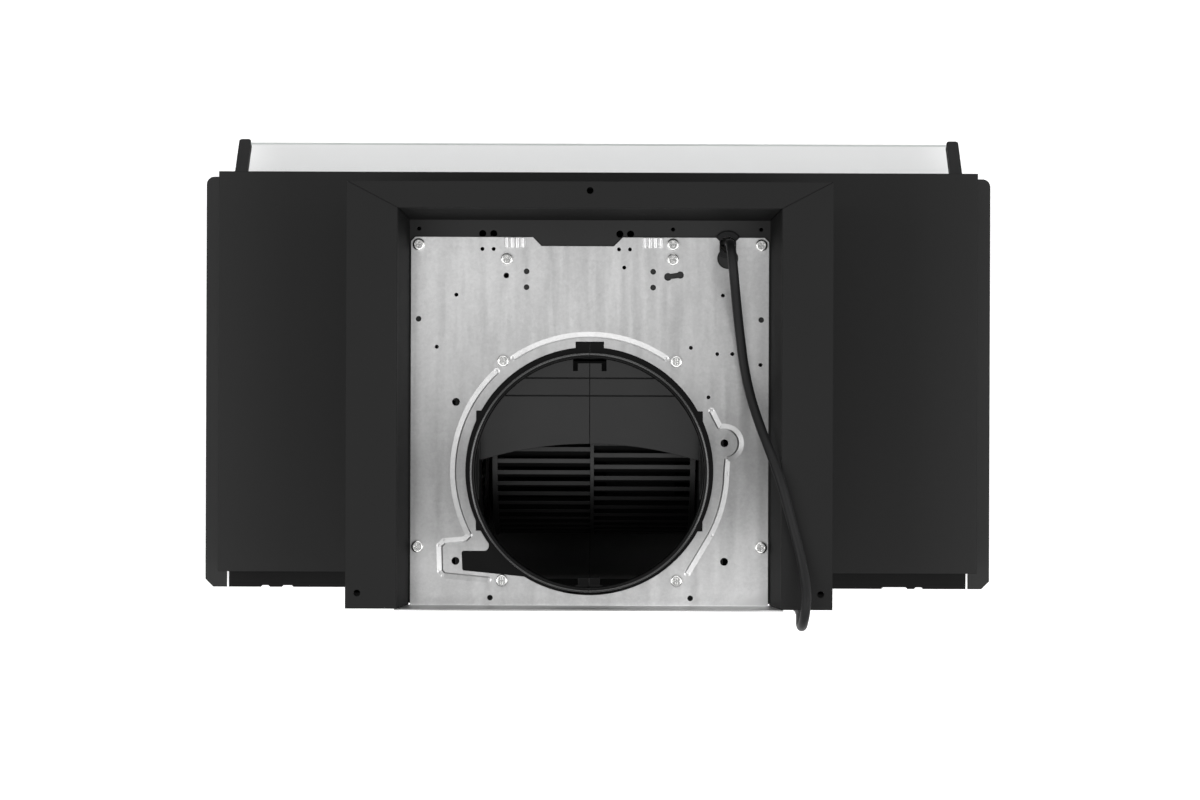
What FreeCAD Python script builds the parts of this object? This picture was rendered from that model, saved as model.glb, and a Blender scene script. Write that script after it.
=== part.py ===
import FreeCAD, Part
import math
import os

# Range hood insert, millimetres. +Z is up, -Y is the hood's front and the wall is at +Y.
# The origin is under the middle of the hood, on the plane that it stands on.
V = FreeCAD.Vector
SIDES = (("left", -1), ("right", 1))

# Sheet stock and general clearances
sheet = 1.0
seat_gap = 0.3
mitre_gap = 0.35
screw_hole_r = 2.1

# Canopy
lid_width = 567.0
canopy_depth = 310.9
lid_z = 66.0
lid_rear_gap = 12.0
lip_drop = 6.0
opening_margin = 16.0

# Side rails that rest on the cabinet
flange_width = 16.5
rail_overrun = 3.0
flange_z = 20.0
rail_leg = 32.0
rail_corner = 6.0

# Visor
visor_tilt = 40.0
visor_reach = 40.5
arm_thick = 8.0
arm_width = 9.0
arm_inset = 9.7
arm_eye_r = 6.0
arm_corner_r = 2.2
hinge_setback = 7.0
hinge_drop = 13.0
pin_r = 2.5
pin_clearance = 0.05
glass_thick = 4.0
glass_bite = 2.8
glass_clearance = 0.1

# Motor box, measured from the wall plane and from its own middle
box_x = 5.5
box_width = 328.0
box_setback = 22.9
rim_side = 34.5
rim_front = 18.0
recess = 36.0
wall_lean = 5.5
foot = 12.0
rear_inset = 8.0
rim_hole_r = 2.25
rim_hole_in = 8.0
rim_hole_front = 6.2
rim_hole_rear = 10.5

# Galvanised plate
plate_side_gap = 1.0
plate_front_gap = 11.8
outlet_w = 92.0
plate_hole_r = 85.2
bead_width = 4.4
bead_steep = 1.1
bead_depth = 0.8
screw_head_r = 4.25
screw_head_h = 2.5
screw_r = 2.0
screw_length = 9.0

# Blower
ring_w = 91.0
ring_r = 82.2
ring_bore_r = 78.5
ring_rise = 5.0
scroll_wall = 2.5
scroll_flange = 3.0
scroll_near = 73.0
scroll_far = 97.0
flange_half = 92.0
axis_w = 110.3
axis_z = 112.0
throat_rise = 98.0
wheel_r = 67.0
wheel_width = 142.5
wheel_shift = -1.75
wheel_skew = 1.25
blade_depth = 11.5
blade_thick = 1.2
blade_tip = 3.1
blade_count = 50
wheel_turn = 5.0
wheel_ring = 3.6
inlet_r = 57.0
seam_gap = 0.3

# Motor
motor_r = 47.0
motor_length = 46.0
motor_wall = 1.6
shaft_r = 4.0
bearing_r = 11.0
bearing_width = 7.0
running_gap = 0.03

# Underside
pan_floor_z = 3.0
pan_wall = 40.0
filter_width = 236.0
lamp_zone = 60.5
filter_thick = 9.0
filter_rail = 9.0
filter_gap = 1.2
filter_x = 138.0
filter_rear = 33.0
latch_travel = 6.0
lamp_x = 195.0
lamp_r = 24.0
panel_setback = 19.0
panel_thick = 1.5
button_r = 5.0
button_pitch = 24.0
button_travel = 1.5
button_z = 35.0

# Mains lead
cord_r = 3.3
grommet_inset = 28.35
grommet_setback = 4.8
grommet_r = 9.75
grommet_waist_r = 7.0
grommet_bore_r = 5.5

# Levels and planes that follow from the sizes above
tilt = math.radians(visor_tilt)
visor_overhang = visor_reach * math.cos(tilt) + arm_thick / 2 - hinge_setback
wall_y = (canopy_depth + visor_overhang - rail_overrun) / 2
rail_rear = wall_y + rail_overrun
lid_front = wall_y - canopy_depth
lid_rear = wall_y - lid_rear_gap
lid_half = lid_width / 2
box_depth = canopy_depth - box_setback
box_half = box_width / 2
box_front_y = wall_y - box_depth
throat_z = axis_z + throat_rise
deck_z = throat_z + scroll_flange
deck_under = deck_z - sheet
plate_z = deck_z + sheet
rim_z = plate_z + recess
inner_top = box_half - rim_side
inner_foot = inner_top - wall_lean
plate_half = inner_foot - plate_side_gap
plate_depth = box_depth - rim_front - wall_lean - plate_front_gap
grommet_u = grommet_inset - plate_half
grommet_w = plate_depth - grommet_setback
rear_panel_y = wall_y - rear_inset
hinge_y = lid_front + hinge_setback
hinge_z = lid_z - hinge_drop
arm_outer = lid_half - arm_inset
arm_inner = arm_outer - arm_width
panel_y = lid_front + panel_setback
panel_back = panel_y + panel_thick
pan_top = pan_floor_z + sheet
axis_y = wall_y - axis_w
ring_y = wall_y - ring_w
wheel_x = box_x + wheel_shift
cavity_half = ring_bore_r - scroll_wall
lamp_y = panel_back + lamp_zone / 2
filter_front_y = panel_back + lamp_zone
filter_rear_y = wall_y - filter_rear


# Building helpers
def block(x0, x1, y0, y1, z0, z1):
    """Box between two corners, whichever way round they are given."""
    low = V(min(x0, x1), min(y0, y1), min(z0, z1))
    return Part.makeBox(abs(x1 - x0), abs(y1 - y0), abs(z1 - z0), low)


def prism(points, z0, z1):
    """Upright prism over an outline in XY."""
    corners = [V(x, y, z0) for x, y in points]
    face = Part.Face(Part.makePolygon(corners + corners[:1]))
    return face.extrude(V(0, 0, z1 - z0))


def across(points, x0, x1):
    """Prism along X over an outline in YZ."""
    corners = [V(x0, y, z) for y, z in points]
    face = Part.Face(Part.makePolygon(corners + corners[:1]))
    return face.extrude(V(x1 - x0, 0, 0))


def along(points, y0, y1):
    """Prism along Y over an outline in XZ."""
    corners = [V(x, y0, z) for x, z in points]
    face = Part.Face(Part.makePolygon(corners + corners[:1]))
    return face.extrude(V(0, y1 - y0, 0))


def upright(r, x, y, z0, z1):
    return Part.makeCylinder(r, z1 - z0, V(x, y, z0))


def spindle(r, x0, x1, y, z):
    """Cylinder along X."""
    return Part.makeCylinder(r, abs(x1 - x0), V(min(x0, x1), y, z), V(1, 0, 0))


def plunger(r, x, z, y0, y1):
    """Cylinder along Y."""
    return Part.makeCylinder(r, y1 - y0, V(x, y0, z), V(0, 1, 0))


def join(first, *others):
    shape = first
    for other in others:
        shape = shape.fuse(other)
    return shape.removeSplitter()


def plate_point(u, w):
    """Point of the motor box: u across from its middle, w out from the wall."""
    return box_x + u, wall_y - w


def pan_screw(x, y, z, length=screw_length):
    """Upright screw with a domed head on height z and a cross recess."""
    head = upright(screw_head_r, x, y, z, z + screw_head_h)
    rim = [e for e in head.Edges if abs(e.BoundBox.ZMin - z - screw_head_h) < 1e-6 and e.Closed]
    head = head.makeFillet(screw_head_h * 0.6, rim[:1])
    arm = screw_head_r * 0.55
    slot = screw_r * 0.28
    top = z + screw_head_h
    deep = top - screw_head_h * 0.7
    cross = block(x - arm, x + arm, y - slot, y + slot, deep, top + 1)
    cross = cross.fuse(block(x - slot, x + slot, y - arm, y + arm, deep, top + 1))
    shank = upright(screw_r, x, y, z - length, z)
    return head.cut(cross).fuse(shank)


def save(name, shape):
    shape.exportStep("parts/" + name + ".step")
    print(name, len(shape.Solids), "solid", round(shape.Volume, 1))


# Canopy
def rail_screw_places():
    """Y of the screws through each rail, in three even steps along the canopy."""
    span = lid_rear - lid_front
    return [lid_front + span * share for share in (0.18, 0.5, 0.82)]


rail_screw_z = flange_z + rail_leg / 2


def rail_bores():
    """Through holes for the rail screws, both sides in one go."""
    reach = lid_half + 5 * sheet
    holes = [spindle(screw_hole_r, -reach, reach, y, rail_screw_z) for y in rail_screw_places()]
    return Part.makeCompound(holes)


def canopy_shell():
    """Folded lid with two side walls, a front lip and a rear wall."""
    lid = block(-lid_half, lid_half, lid_front, lid_rear, lid_z - sheet, lid_z)
    lip = block(-lid_half, lid_half, lid_front, lid_front + sheet, lid_z - lip_drop, lid_z)
    rear = block(-lid_half, lid_half, lid_rear - sheet, lid_rear, flange_z, lid_z)
    left = block(-lid_half, -lid_half + sheet, lid_front, lid_rear, flange_z, lid_z)
    right = block(lid_half - sheet, lid_half, lid_front, lid_rear, flange_z, lid_z)
    well = block(box_x - box_half + opening_margin, box_x + box_half - opening_margin,
                 box_front_y + opening_margin, lid_rear - foot, lid_z - 2 * sheet, lid_z + sheet)
    return join(lid, lip, rear, left, right).cut(well).cut(rail_bores())


def side_rail(side):
    """Angle with an out-turned flange, rounded at the front and clipped at the rear."""
    inner = lid_half
    outer = lid_half + flange_width
    front = lid_front
    c = rail_corner
    outline = [(inner, front), (outer - c, front), (outer, front + c), (outer, rail_rear - c),
               (outer - c, rail_rear), (inner, rail_rear)]
    leg = block(side * inner, side * (inner + sheet), lid_front + foot, lid_rear - foot,
                flange_z - sheet, flange_z - sheet + rail_leg)
    flange = prism([(side * x, y) for x, y in outline], flange_z - sheet, flange_z)
    nose = upright(c, side * (outer - c), front + c, flange_z - sheet, flange_z)
    return join(flange, nose, leg).cut(rail_bores())


def rail_screws():
    """Pan-head screws through the rails into the pan."""
    screws = []
    for side in (-1, 1):
        for y in rail_screw_places():
            turn = FreeCAD.Placement(V(side * (lid_half + sheet), y, rail_screw_z),
                                     FreeCAD.Rotation(V(0, 0, 1), V(side, 0, 0)))
            screw = pan_screw(0, 0, 0, 4 * sheet)
            screw.Placement = turn
            screws.append(screw)
    return Part.makeCompound(screws)


def filter_centre(side):
    return side * filter_x


ledge_gap = 1.5
notch_depth = 1.3
ledge_notches = {"left": [(34.0, 7.0), (46.0, 20.0)], "right": [(26.0, 7.0), (42.0, 9.0)]}


def bottom_pan():
    """Tray under the canopy: a floor on a standing edge, side walls and two rear ledges."""
    half = lid_half - sheet
    rear = lid_rear - sheet
    floor = block(-half, half, panel_y, rear, pan_floor_z, pan_top)
    front_edge = block(-half, half, panel_y, panel_y + sheet, 0, pan_top)
    front_lip = block(-half, half, panel_back, panel_back + sheet, pan_top, pan_top + foot)
    rear_wall = block(-half, half, rear - sheet, rear, 0, pan_wall)
    body = [front_edge, front_lip, rear_wall]
    ledge_in = box_half - foot
    for name, side in SIDES:
        body.append(block(side * (half - sheet), side * half, panel_back + sheet, rear, 0, pan_wall))
        ledge = block(side * ledge_in, side * (lid_half - ledge_gap), rear, rail_rear,
                      flange_z - sheet, flange_z)
        for start, width in ledge_notches[name]:
            x0, x1 = lid_half - start, lid_half - start - width
            outline = [(x0, rail_rear + 1), (x0, rail_rear), (x0 - notch_depth, rail_rear - notch_depth),
                       (x1 + notch_depth, rail_rear - notch_depth), (x1, rail_rear), (x1, rail_rear + 1)]
            notch = prism([(side * x, y) for x, y in outline], flange_z - 2 * sheet, flange_z + sheet)
            ledge = ledge.cut(notch)
        body.append(ledge)
    pan = join(floor, *body)
    for side in (-1, 1):
        x = filter_centre(side)
        reach = filter_width / 2 + filter_gap
        pan = pan.cut(block(x - reach, x + reach, filter_front_y - filter_gap, filter_rear_y + filter_gap,
                            pan_floor_z - 1, pan_top + 1))
        pan = pan.cut(upright(lamp_r + 0.4, side * lamp_x, lamp_y, pan_floor_z - 1, pan_top + 1))
    return pan.cut(rail_bores())


# Lamps
lamp_brim = 4.5
lamp_height = 18.0
lamp_wall = 3.6
lamp_face_z = pan_floor_z - 1.6


def lamp_ring(side):
    """Cup with a brim under the pan's floor and a seat for its lens."""
    x = side * lamp_x
    brim = upright(lamp_r + lamp_brim, x, lamp_y, lamp_face_z, pan_floor_z)
    cup = upright(lamp_r, x, lamp_y, lamp_face_z, lamp_face_z + lamp_height)
    hollow = upright(lamp_r - lamp_wall - 2, x, lamp_y, lamp_face_z - 1, lamp_face_z + lamp_height - 2)
    seat = upright(lamp_r - lamp_wall, x, lamp_y, lamp_face_z - 1, lamp_face_z + 3)
    return join(brim, cup).cut(hollow).cut(seat)


def lamp_lens(side):
    return upright(lamp_r - lamp_wall - 0.2, side * lamp_x, lamp_y, lamp_face_z + 0.5, lamp_face_z + 3)


# Front panel and controls
button_places = [(step - 2) * button_pitch for step in range(5)]
bezel_half = 2 * button_pitch + 4 * button_r
bezel_height = 22.0
bezel_thick = 2.0
board_gap = 10.5
board_thick = 1.6
board_height = 30.0
switch_half = 3.0
stem_gap = 4.0
boss_r = 3.0
boss_x = bezel_half - 8.0
boss_rise = 11.0
button_slack = 0.3


def button_bores(r):
    holes = [plunger(r, x, button_z, panel_y - 20, panel_back + 20) for x in button_places]
    return Part.makeCompound(holes)


def front_panel():
    """Plain panel behind the visor, with bosses for the control board."""
    half = lid_half - 2.5 * sheet
    panel = block(-half, half, panel_y, panel_back, pan_top, lid_z - sheet - seat_gap)
    panel = panel.cut(button_bores(button_r + button_slack))
    for x in (-boss_x, boss_x):
        for z in (button_z - boss_rise, button_z + boss_rise):
            panel = panel.fuse(plunger(boss_r, x, z, panel_back, panel_back + board_gap))
    return panel.removeSplitter()


def control_bezel():
    """Raised strip round the buttons."""
    plate = block(-bezel_half, bezel_half, panel_y - bezel_thick, panel_y,
                  button_z - bezel_height / 2, button_z + bezel_height / 2)
    ends = [e for e in plate.Edges if abs(e.BoundBox.YLength - bezel_thick) < 1e-6]
    plate = plate.makeFillet(bezel_height * 0.2, ends)
    return plate.cut(button_bores(button_r + button_slack))


def push_button(x):
    """Round button with a collar behind the panel."""
    proud = bezel_thick + 3.5
    stem_end = panel_back + board_gap - stem_gap
    stem = plunger(button_r, x, button_z, panel_y - proud, stem_end)
    face = [e for e in stem.Edges if abs(e.BoundBox.YMax - panel_y + proud) < 1e-6 and e.Closed]
    stem = stem.makeFillet(0.8, face[:1])
    collar = plunger(button_r + 1.8, x, button_z, panel_back + seat_gap, panel_back + seat_gap + 1.5)
    return stem.fuse(collar).removeSplitter()


def control_board():
    """Board on the bosses with a switch behind each button."""
    back = panel_back + board_gap
    board = block(-bezel_half, bezel_half, back, back + board_thick,
                  button_z - board_height / 2, button_z + board_height / 2)
    reach = stem_gap - button_travel - seat_gap
    for x in button_places:
        switch = block(x - switch_half, x + switch_half, back - reach, back,
                       button_z - switch_half, button_z + switch_half)
        board = board.fuse(switch)
    return board.removeSplitter()


# Visor
def tilted(shape):
    """Turn a level visor piece down about the hinge axis."""
    turned = shape.copy()
    turned.rotate(V(0, hinge_y, hinge_z), V(1, 0, 0), visor_tilt)
    return turned


visor_tip_y = hinge_y - visor_reach
glass_back = arm_eye_r + 3.0
glass_short = 1.8
arm_front = arm_thick / 2 * (1 - math.sin(tilt)) / math.cos(tilt)


def visor_arm(side):
    """Bar with round front corners, an eye for the pin and a slot for the glass."""
    outer = side * arm_outer
    inner = side * arm_inner
    front = visor_tip_y - arm_front
    bar = block(inner, outer, front, hinge_y, hinge_z - arm_thick / 2, hinge_z + arm_thick / 2)
    corners = [e for e in bar.Edges if e.BoundBox.ZLength > sheet and e.BoundBox.YMax < visor_tip_y]
    bar = bar.makeFillet(arm_corner_r, corners)
    eye = spindle(arm_eye_r, inner, outer, hinge_y, hinge_z)
    bore = spindle(pin_r + pin_clearance, inner - side, outer + side, hinge_y, hinge_z)
    gap = glass_clearance
    slot = block(inner - side, inner + side * (glass_bite + gap), visor_tip_y - arm_thick,
                 hinge_y - glass_back + gap, hinge_z - glass_thick / 2 - gap, hinge_z + glass_thick / 2 + gap)
    return tilted(join(bar, eye).cut(bore).cut(slot))


def visor_glass():
    reach = arm_inner + glass_bite
    front = visor_tip_y - arm_front + glass_short
    pane = block(-reach, reach, front, hinge_y - glass_back,
                 hinge_z - glass_thick / 2, hinge_z + glass_thick / 2)
    return tilted(pane)


def visor_pins():
    """Pins from the brackets through both arms."""
    far = lid_half - sheet
    return Part.makeCompound([spindle(pin_r, side * arm_inner, side * far, hinge_y, hinge_z)
                              for side in (-1, 1)])


def visor_bracket(side):
    """Block on the side wall that holds one pin."""
    near = arm_outer + seat_gap
    far = lid_half - sheet
    body = block(side * near, side * far, hinge_y - arm_eye_r, hinge_y + 2 * arm_eye_r,
                 hinge_z - arm_eye_r, lid_z - sheet)
    front = [e for e in body.Edges if e.BoundBox.XLength > 1 and e.BoundBox.YMin < hinge_y
             and e.BoundBox.YMax < hinge_y and e.BoundBox.ZMax < hinge_z]
    body = body.makeFillet(arm_eye_r * 0.6, front)
    return body.cut(spindle(pin_r + 0.01, side * near - side, side * far + side, hinge_y, hinge_z))


# Motor box
corner_y = box_front_y + rim_front
far_out = 600.0


def corner_wedge(side, keep_side):
    """Half space beside the upright mitre plane through an inner corner of the recess."""
    c = inner_top + corner_y
    line = [(c + far_out, -far_out), (c - far_out, far_out)]
    third = (c + far_out, far_out) if keep_side else (c - far_out, -far_out)
    return prism([(box_x + side * u, y) for u, y in line + [third]], 0, rim_z + 10)


def inner_wall_section():
    """Leaning inner wall: outward distance and height."""
    return [(inner_top, rim_z - sheet), (inner_top + sheet, rim_z - sheet),
            (inner_foot + sheet, deck_z), (inner_foot, deck_z)]


def rim_holes():
    """Three screw holes through the rim: one in front and two at the wall."""
    front = plate_point(0, box_depth - rim_hole_front)
    places = [front]
    for side in (-1, 1):
        places.append(plate_point(side * (box_half - rim_hole_in), rim_hole_rear))
    return Part.makeCompound([upright(rim_hole_r, x, y, rim_z - 5, rim_z + 5) for x, y in places])


def box_side(side):
    """Side of the motor box, folded from one sheet: foot, outer wall, rim, inner wall and deck foot."""
    def x(u):
        return box_x + side * u
    wall = block(x(box_half - sheet), x(box_half), box_front_y, wall_y, lid_z, rim_z - sheet)
    rim = prism([(x(box_half), box_front_y), (x(box_half), wall_y), (x(inner_top), wall_y),
                 (x(inner_top), corner_y)], rim_z - sheet, rim_z)
    section = [(x(u), z) for u, z in inner_wall_section()]
    inner = along(section, corner_y - rim_front, wall_y)
    shelf = block(x(inner_foot), x(inner_foot + foot), corner_y, wall_y - sheet, deck_z, deck_z + sheet)
    inner = inner.fuse(shelf).common(corner_wedge(side, True))
    base = block(x(box_half - foot), x(box_half), box_front_y + foot + seat_gap, lid_rear,
                 lid_z, lid_z + sheet)
    return join(wall, rim, inner, base).cut(rim_holes())


def box_front():
    """Front of the motor box, mitred between the two sides."""
    half = box_half - sheet - seat_gap
    wall = block(box_x - half, box_x + half, box_front_y, box_front_y + sheet, lid_z, rim_z - sheet)
    g = mitre_gap
    rim = prism([(box_x - box_half + g, box_front_y), (box_x + box_half - g, box_front_y),
                 (box_x + inner_top - g, corner_y), (box_x - inner_top + g, corner_y)],
                rim_z - sheet, rim_z)
    lean = [(corner_y, rim_z - sheet), (corner_y - sheet, rim_z - sheet),
            (corner_y + wall_lean - sheet, deck_z), (corner_y + wall_lean, deck_z)]
    inner = across(lean, box_x - inner_top - sheet, box_x + inner_top + sheet)
    shelf = block(box_x - inner_top, box_x + inner_top, corner_y + wall_lean - foot, corner_y + wall_lean,
                  deck_z, deck_z + sheet)
    inner = inner.fuse(shelf)
    for side in (-1, 1):
        keep = corner_wedge(side, False)
        keep.translate(V(-side * g, 0, 0))
        inner = inner.common(keep)
    base = block(box_x - half + foot, box_x + half - foot, box_front_y, box_front_y + foot,
                 lid_z, lid_z + sheet)
    return join(wall, rim, inner, base).cut(rim_holes())


def box_rear():
    """Rear wall set in from the wall plane, with a foot on the lid and a top fold under the deck."""
    half = box_half - sheet - seat_gap
    near = rear_panel_y
    wall = block(box_x - half, box_x + half, near, near + sheet, lid_z, deck_under)
    base = block(box_x - half + foot, box_x + half - foot, lid_rear - foot + sheet, near + sheet,
                 lid_z, lid_z + sheet)
    fold = block(box_x - half, box_x + half, near, wall_y - sheet, deck_under - sheet, deck_under)
    returns = [block(box_x + side * half, box_x + side * (half - sheet), near, wall_y - sheet,
                     lid_z + foot, deck_under) for side in (-1, 1)]
    return join(wall, base, fold, *returns)


# Plate and deck features: u across from the middle, w out from the wall. Those near the plate's front edge
# are placed back from that edge, and those near its sides are placed in from the side.
def set_back(places):
    """Places given as u and the distance back from the plate's front edge."""
    return [(u, plate_depth - back) for u, back in places]


def both_sides(inset, w):
    return [(plate_half - inset, w), (inset - plate_half, w)]


corner_screws = both_sides(5.3, plate_depth - 5.3) + both_sides(5.0, 39.8)
blower_screw_places = [(59.5, 167.4), (-59.5, 167.4), (60.0, 16.7), (-60.0, 16.7)]
tab_screw_places = set_back([(57.2, 15.3), (-57.0, 4.9), (-57.0, 15.3)])
pin_holes = set_back([(74.0, 8.2), (66.3, 8.2), (-19.9, 8.2), (-27.4, 8.2), (-23.5, 20.7),
                      (91.8, 39.7), (-91.4, 39.7)])
pin_holes += [(105.2, 177.2), (-69.5, 177.0), (-87.6, 172.8), (-98.0, 172.8), (5.6 - plate_half, 165.4),
              (-81.7, 143.0)]
tap_holes = set_back([(57.5, 26.4), (43.6, 23.5), (43.6, 34.4), (-43.4, 23.5), (-43.4, 34.4)])
tap_holes += both_sides(5.2, plate_depth - 56.4) + [(68.0, 4.8), (-69.6, 4.8)]
bolt_holes = [(91.8, 139.3), (91.8, 30.0), (-92.8, 111.5), (-92.8, 30.0)]
deck_pin_holes = both_sides(5.3, plate_depth + 5.7) + set_back([(-57.0, -5.7)])
deck_tap_holes = set_back([(73.9, -2.4), (66.3, -2.4), (-20.4, -2.4), (-27.8, -2.4)])
pin_hole_r = 1.35
tap_hole_r = 1.95
bolt_hole_r = 2.7
deck_hole_r = 2.4
deck_through = pin_holes + bolt_holes + [tap_holes[0]] + tap_holes[-2:]
slot_half = 5.65
slot_end_r = 7.25
slot_length = 14.2
slot_clip = 2.3
key_u = -53.6
key_setback = 27.0
key_run = 8.4
key_rise = 1.3
key_r = 2.7
key_slot_r = 2.5
key_bar = 1.9


waist_gap = 0.2


def drill(places, r, z0, z1):
    return [upright(r, *plate_point(u, w), z0, z1) for u, w in places]


def deck_plate():
    """Black sheet across the recess, open under the blower."""
    reach = inner_foot + 2 * foot
    low = deck_under
    x0, y_front = plate_point(-reach, box_depth - 2 * sheet - seat_gap)
    x1, y_rear = plate_point(reach, sheet)
    deck = block(x0, x1, y_front, y_rear, low, deck_z)
    hole_half = flange_half + foot
    x0, y0 = plate_point(-hole_half, ring_w + flange_half)
    x1, y1 = plate_point(hole_half, rear_inset - sheet)
    tools = [block(x0, x1, y0, y1, low - 1, deck_z + 1)]
    tools += drill(corner_screws + tab_screw_places, screw_hole_r, low - 1, deck_z + 1)
    tools += drill(deck_pin_holes, pin_hole_r, low - 1, deck_z + 1)
    tools += drill(deck_tap_holes, deck_hole_r, low - 1, deck_z + 1)
    tools += drill(deck_through, pin_hole_r, low - 1, deck_z + 1)
    tools += drill([(grommet_u, grommet_w)], grommet_waist_r + waist_gap, low - 1, deck_z + 1)
    return deck.cut(Part.makeCompound(tools))


def bead_section(middle):
    """Section of a bead's cutter in XZ: steep on its inner side, a long ramp on its outer side."""
    near = middle - bead_width / 2
    far = middle + bead_width / 2
    corners = [(near, 0), (near + bead_steep, -bead_depth), (far, 0), (far, bead_depth), (near, bead_depth)]
    return Part.Face(Part.makePolygon([V(x, 0, z) for x, z in corners + corners[:1]]))


def bead_line(start, end):
    """Straight bead between two plate points, with its steep side on the left."""
    (xa, ya), (xb, yb) = plate_point(*start), plate_point(*end)
    run = math.hypot(xb - xa, yb - ya)
    bar = bead_section(0).extrude(V(0, run, 0))
    bar.rotate(V(0, 0, 0), V(0, 0, 1), math.degrees(math.atan2(yb - ya, xb - xa)) - 90)
    bar.translate(V(xa, ya, plate_z))
    return bar


def bead_arc(u, w, r, start, sweep):
    """Bead round a plate point; angles run from the front towards +X."""
    x, y = plate_point(u, w)
    ring = bead_section(r).revolve(V(0, 0, 0), V(0, 0, 1), sweep)
    ring.rotate(V(0, 0, 0), V(0, 0, 1), start - 90)
    ring.translate(V(x, y, plate_z))
    return ring


def bead_end(u, w):
    """Round end or corner of a bead."""
    x, y = plate_point(u, w)
    half = bead_width / 2
    return Part.makeCone(half - bead_steep, half, bead_depth / 2, V(x, y, plate_z - bead_depth / 2))


def polar(u, w, r, angle):
    """Plate point at an angle from the front, towards +X."""
    a = math.radians(angle)
    return u + r * math.sin(a), w + r * math.cos(a)


bead_r = 93.6
front_bead = 34.0
side_bead = (43.0, 75.2)
boss_bead_r = 11.2
boss_bead = (-170.0, 186.0)
left_bead = (-117.5, 26.5)
left_bead_r = bead_r + 0.4
left_bead_end = (-67.5, 21.6)
hook_bead = [(85.7, 44.6), (99.6, 43.5), (102.8, 40.6), (102.3, 22.8), (100.0, 20.2), (69.2, 17.2)]


def plate_beads():
    """Beads pressed into the plate: front arc, right side with a hook, left side round a bolt hole."""
    boss = bolt_holes[2]
    beads = [bead_arc(0, outlet_w, bead_r, -front_bead, 2 * front_bead),
             bead_arc(0, outlet_w, bead_r, *side_bead),
             bead_arc(*boss, boss_bead_r, *boss_bead),
             bead_arc(0, outlet_w, left_bead_r, *left_bead)]
    ends = [polar(0, outlet_w, bead_r, a) for a in (-front_bead, front_bead, side_bead[0])]
    hook = [polar(0, outlet_w, bead_r, sum(side_bead))] + hook_bead
    tail = [left_bead_end, polar(0, outlet_w, left_bead_r, left_bead[0])]
    upper = [polar(*boss, boss_bead_r, sum(boss_bead)), (-83.8, 133.7)]
    lower = [polar(0, outlet_w, left_bead_r, sum(left_bead)), polar(*boss, boss_bead_r, boss_bead[0])]
    for path in (hook, upper, lower, tail):
        beads += [bead_line(a, b) for a, b in zip(path, path[1:])]
        ends += path
    return beads + [bead_end(u, w) for u, w in ends]


window_u = 87.7
window_lean = 0.6
window_w = 37.0
window_low = 23.5
window_tall = 9.0
window_end_u = 43.5
window_end_w = 19.3
window_neck_u = 68.9
window_r = 1.5
window_neck_r = 3.4

ridge_r = 1.7
ridge_sink = 0.5
ridge_length = 6.8
ridge_pitch = 3.7
tab_setback = 3.8
cut_top = plate_z + 2 * ridge_r
upstand_out = 1.2
upstand_lap = 1.6


def pressed_tabs():
    """Two groups of short raised ridges at the front edge."""
    ridges = []
    for u, w in set_back([(51.8, tab_setback), (-43.2, tab_setback)]):
        for step in (-1.5, -0.5, 0.5, 1.5):
            x, y = plate_point(u + step * ridge_pitch, w)
            ridge = plunger(ridge_r, x, plate_z - ridge_sink, y - ridge_length / 2, y + ridge_length / 2)
            above = block(x - ridge_pitch, x + ridge_pitch, y - ridge_length, y + ridge_length,
                          plate_z - sheet / 2, plate_z + 2 * ridge_r)
            ridges.append(ridge.common(above))
    return ridges


def cable_neck(gap):
    """Outline of the cable slot's neck and of the space before the plate, kept clear of both by a gap."""
    half = slot_half - gap
    wide = slot_half + slot_clip
    front = plate_depth + gap
    beyond = front + 2 * grommet_r
    right = [(grommet_u + half, plate_depth - slot_length), (grommet_u + half, front - slot_clip),
             (grommet_u + wide, front), (grommet_u + 2 * wide, front), (grommet_u + 2 * wide, beyond)]
    left = [(2 * grommet_u - u, w) for u, w in reversed(right)]
    return [plate_point(u, w) for u, w in right + left]


def wire_window():
    """Cutter for the window beside the outlet, with rounded corners and open to the outlet."""
    outline = [(window_u, window_w), (window_u - window_lean, window_low), (window_end_u, window_end_w),
               (window_end_u, window_w + window_tall), (window_neck_u, window_w + window_tall),
               (window_neck_u, window_w)]
    tool = prism([plate_point(u, w) for u, w in outline], deck_z - 1, cut_top)
    for (u, w), r in ((outline[0], window_r), (outline[1], window_r), (outline[5], window_neck_r)):
        x, y = plate_point(u, w)
        edges = [e for e in tool.Edges if math.hypot(e.CenterOfMass.x - x, e.CenterOfMass.y - y) < 0.01]
        tool = tool.makeFillet(r, edges)
    return tool


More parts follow.
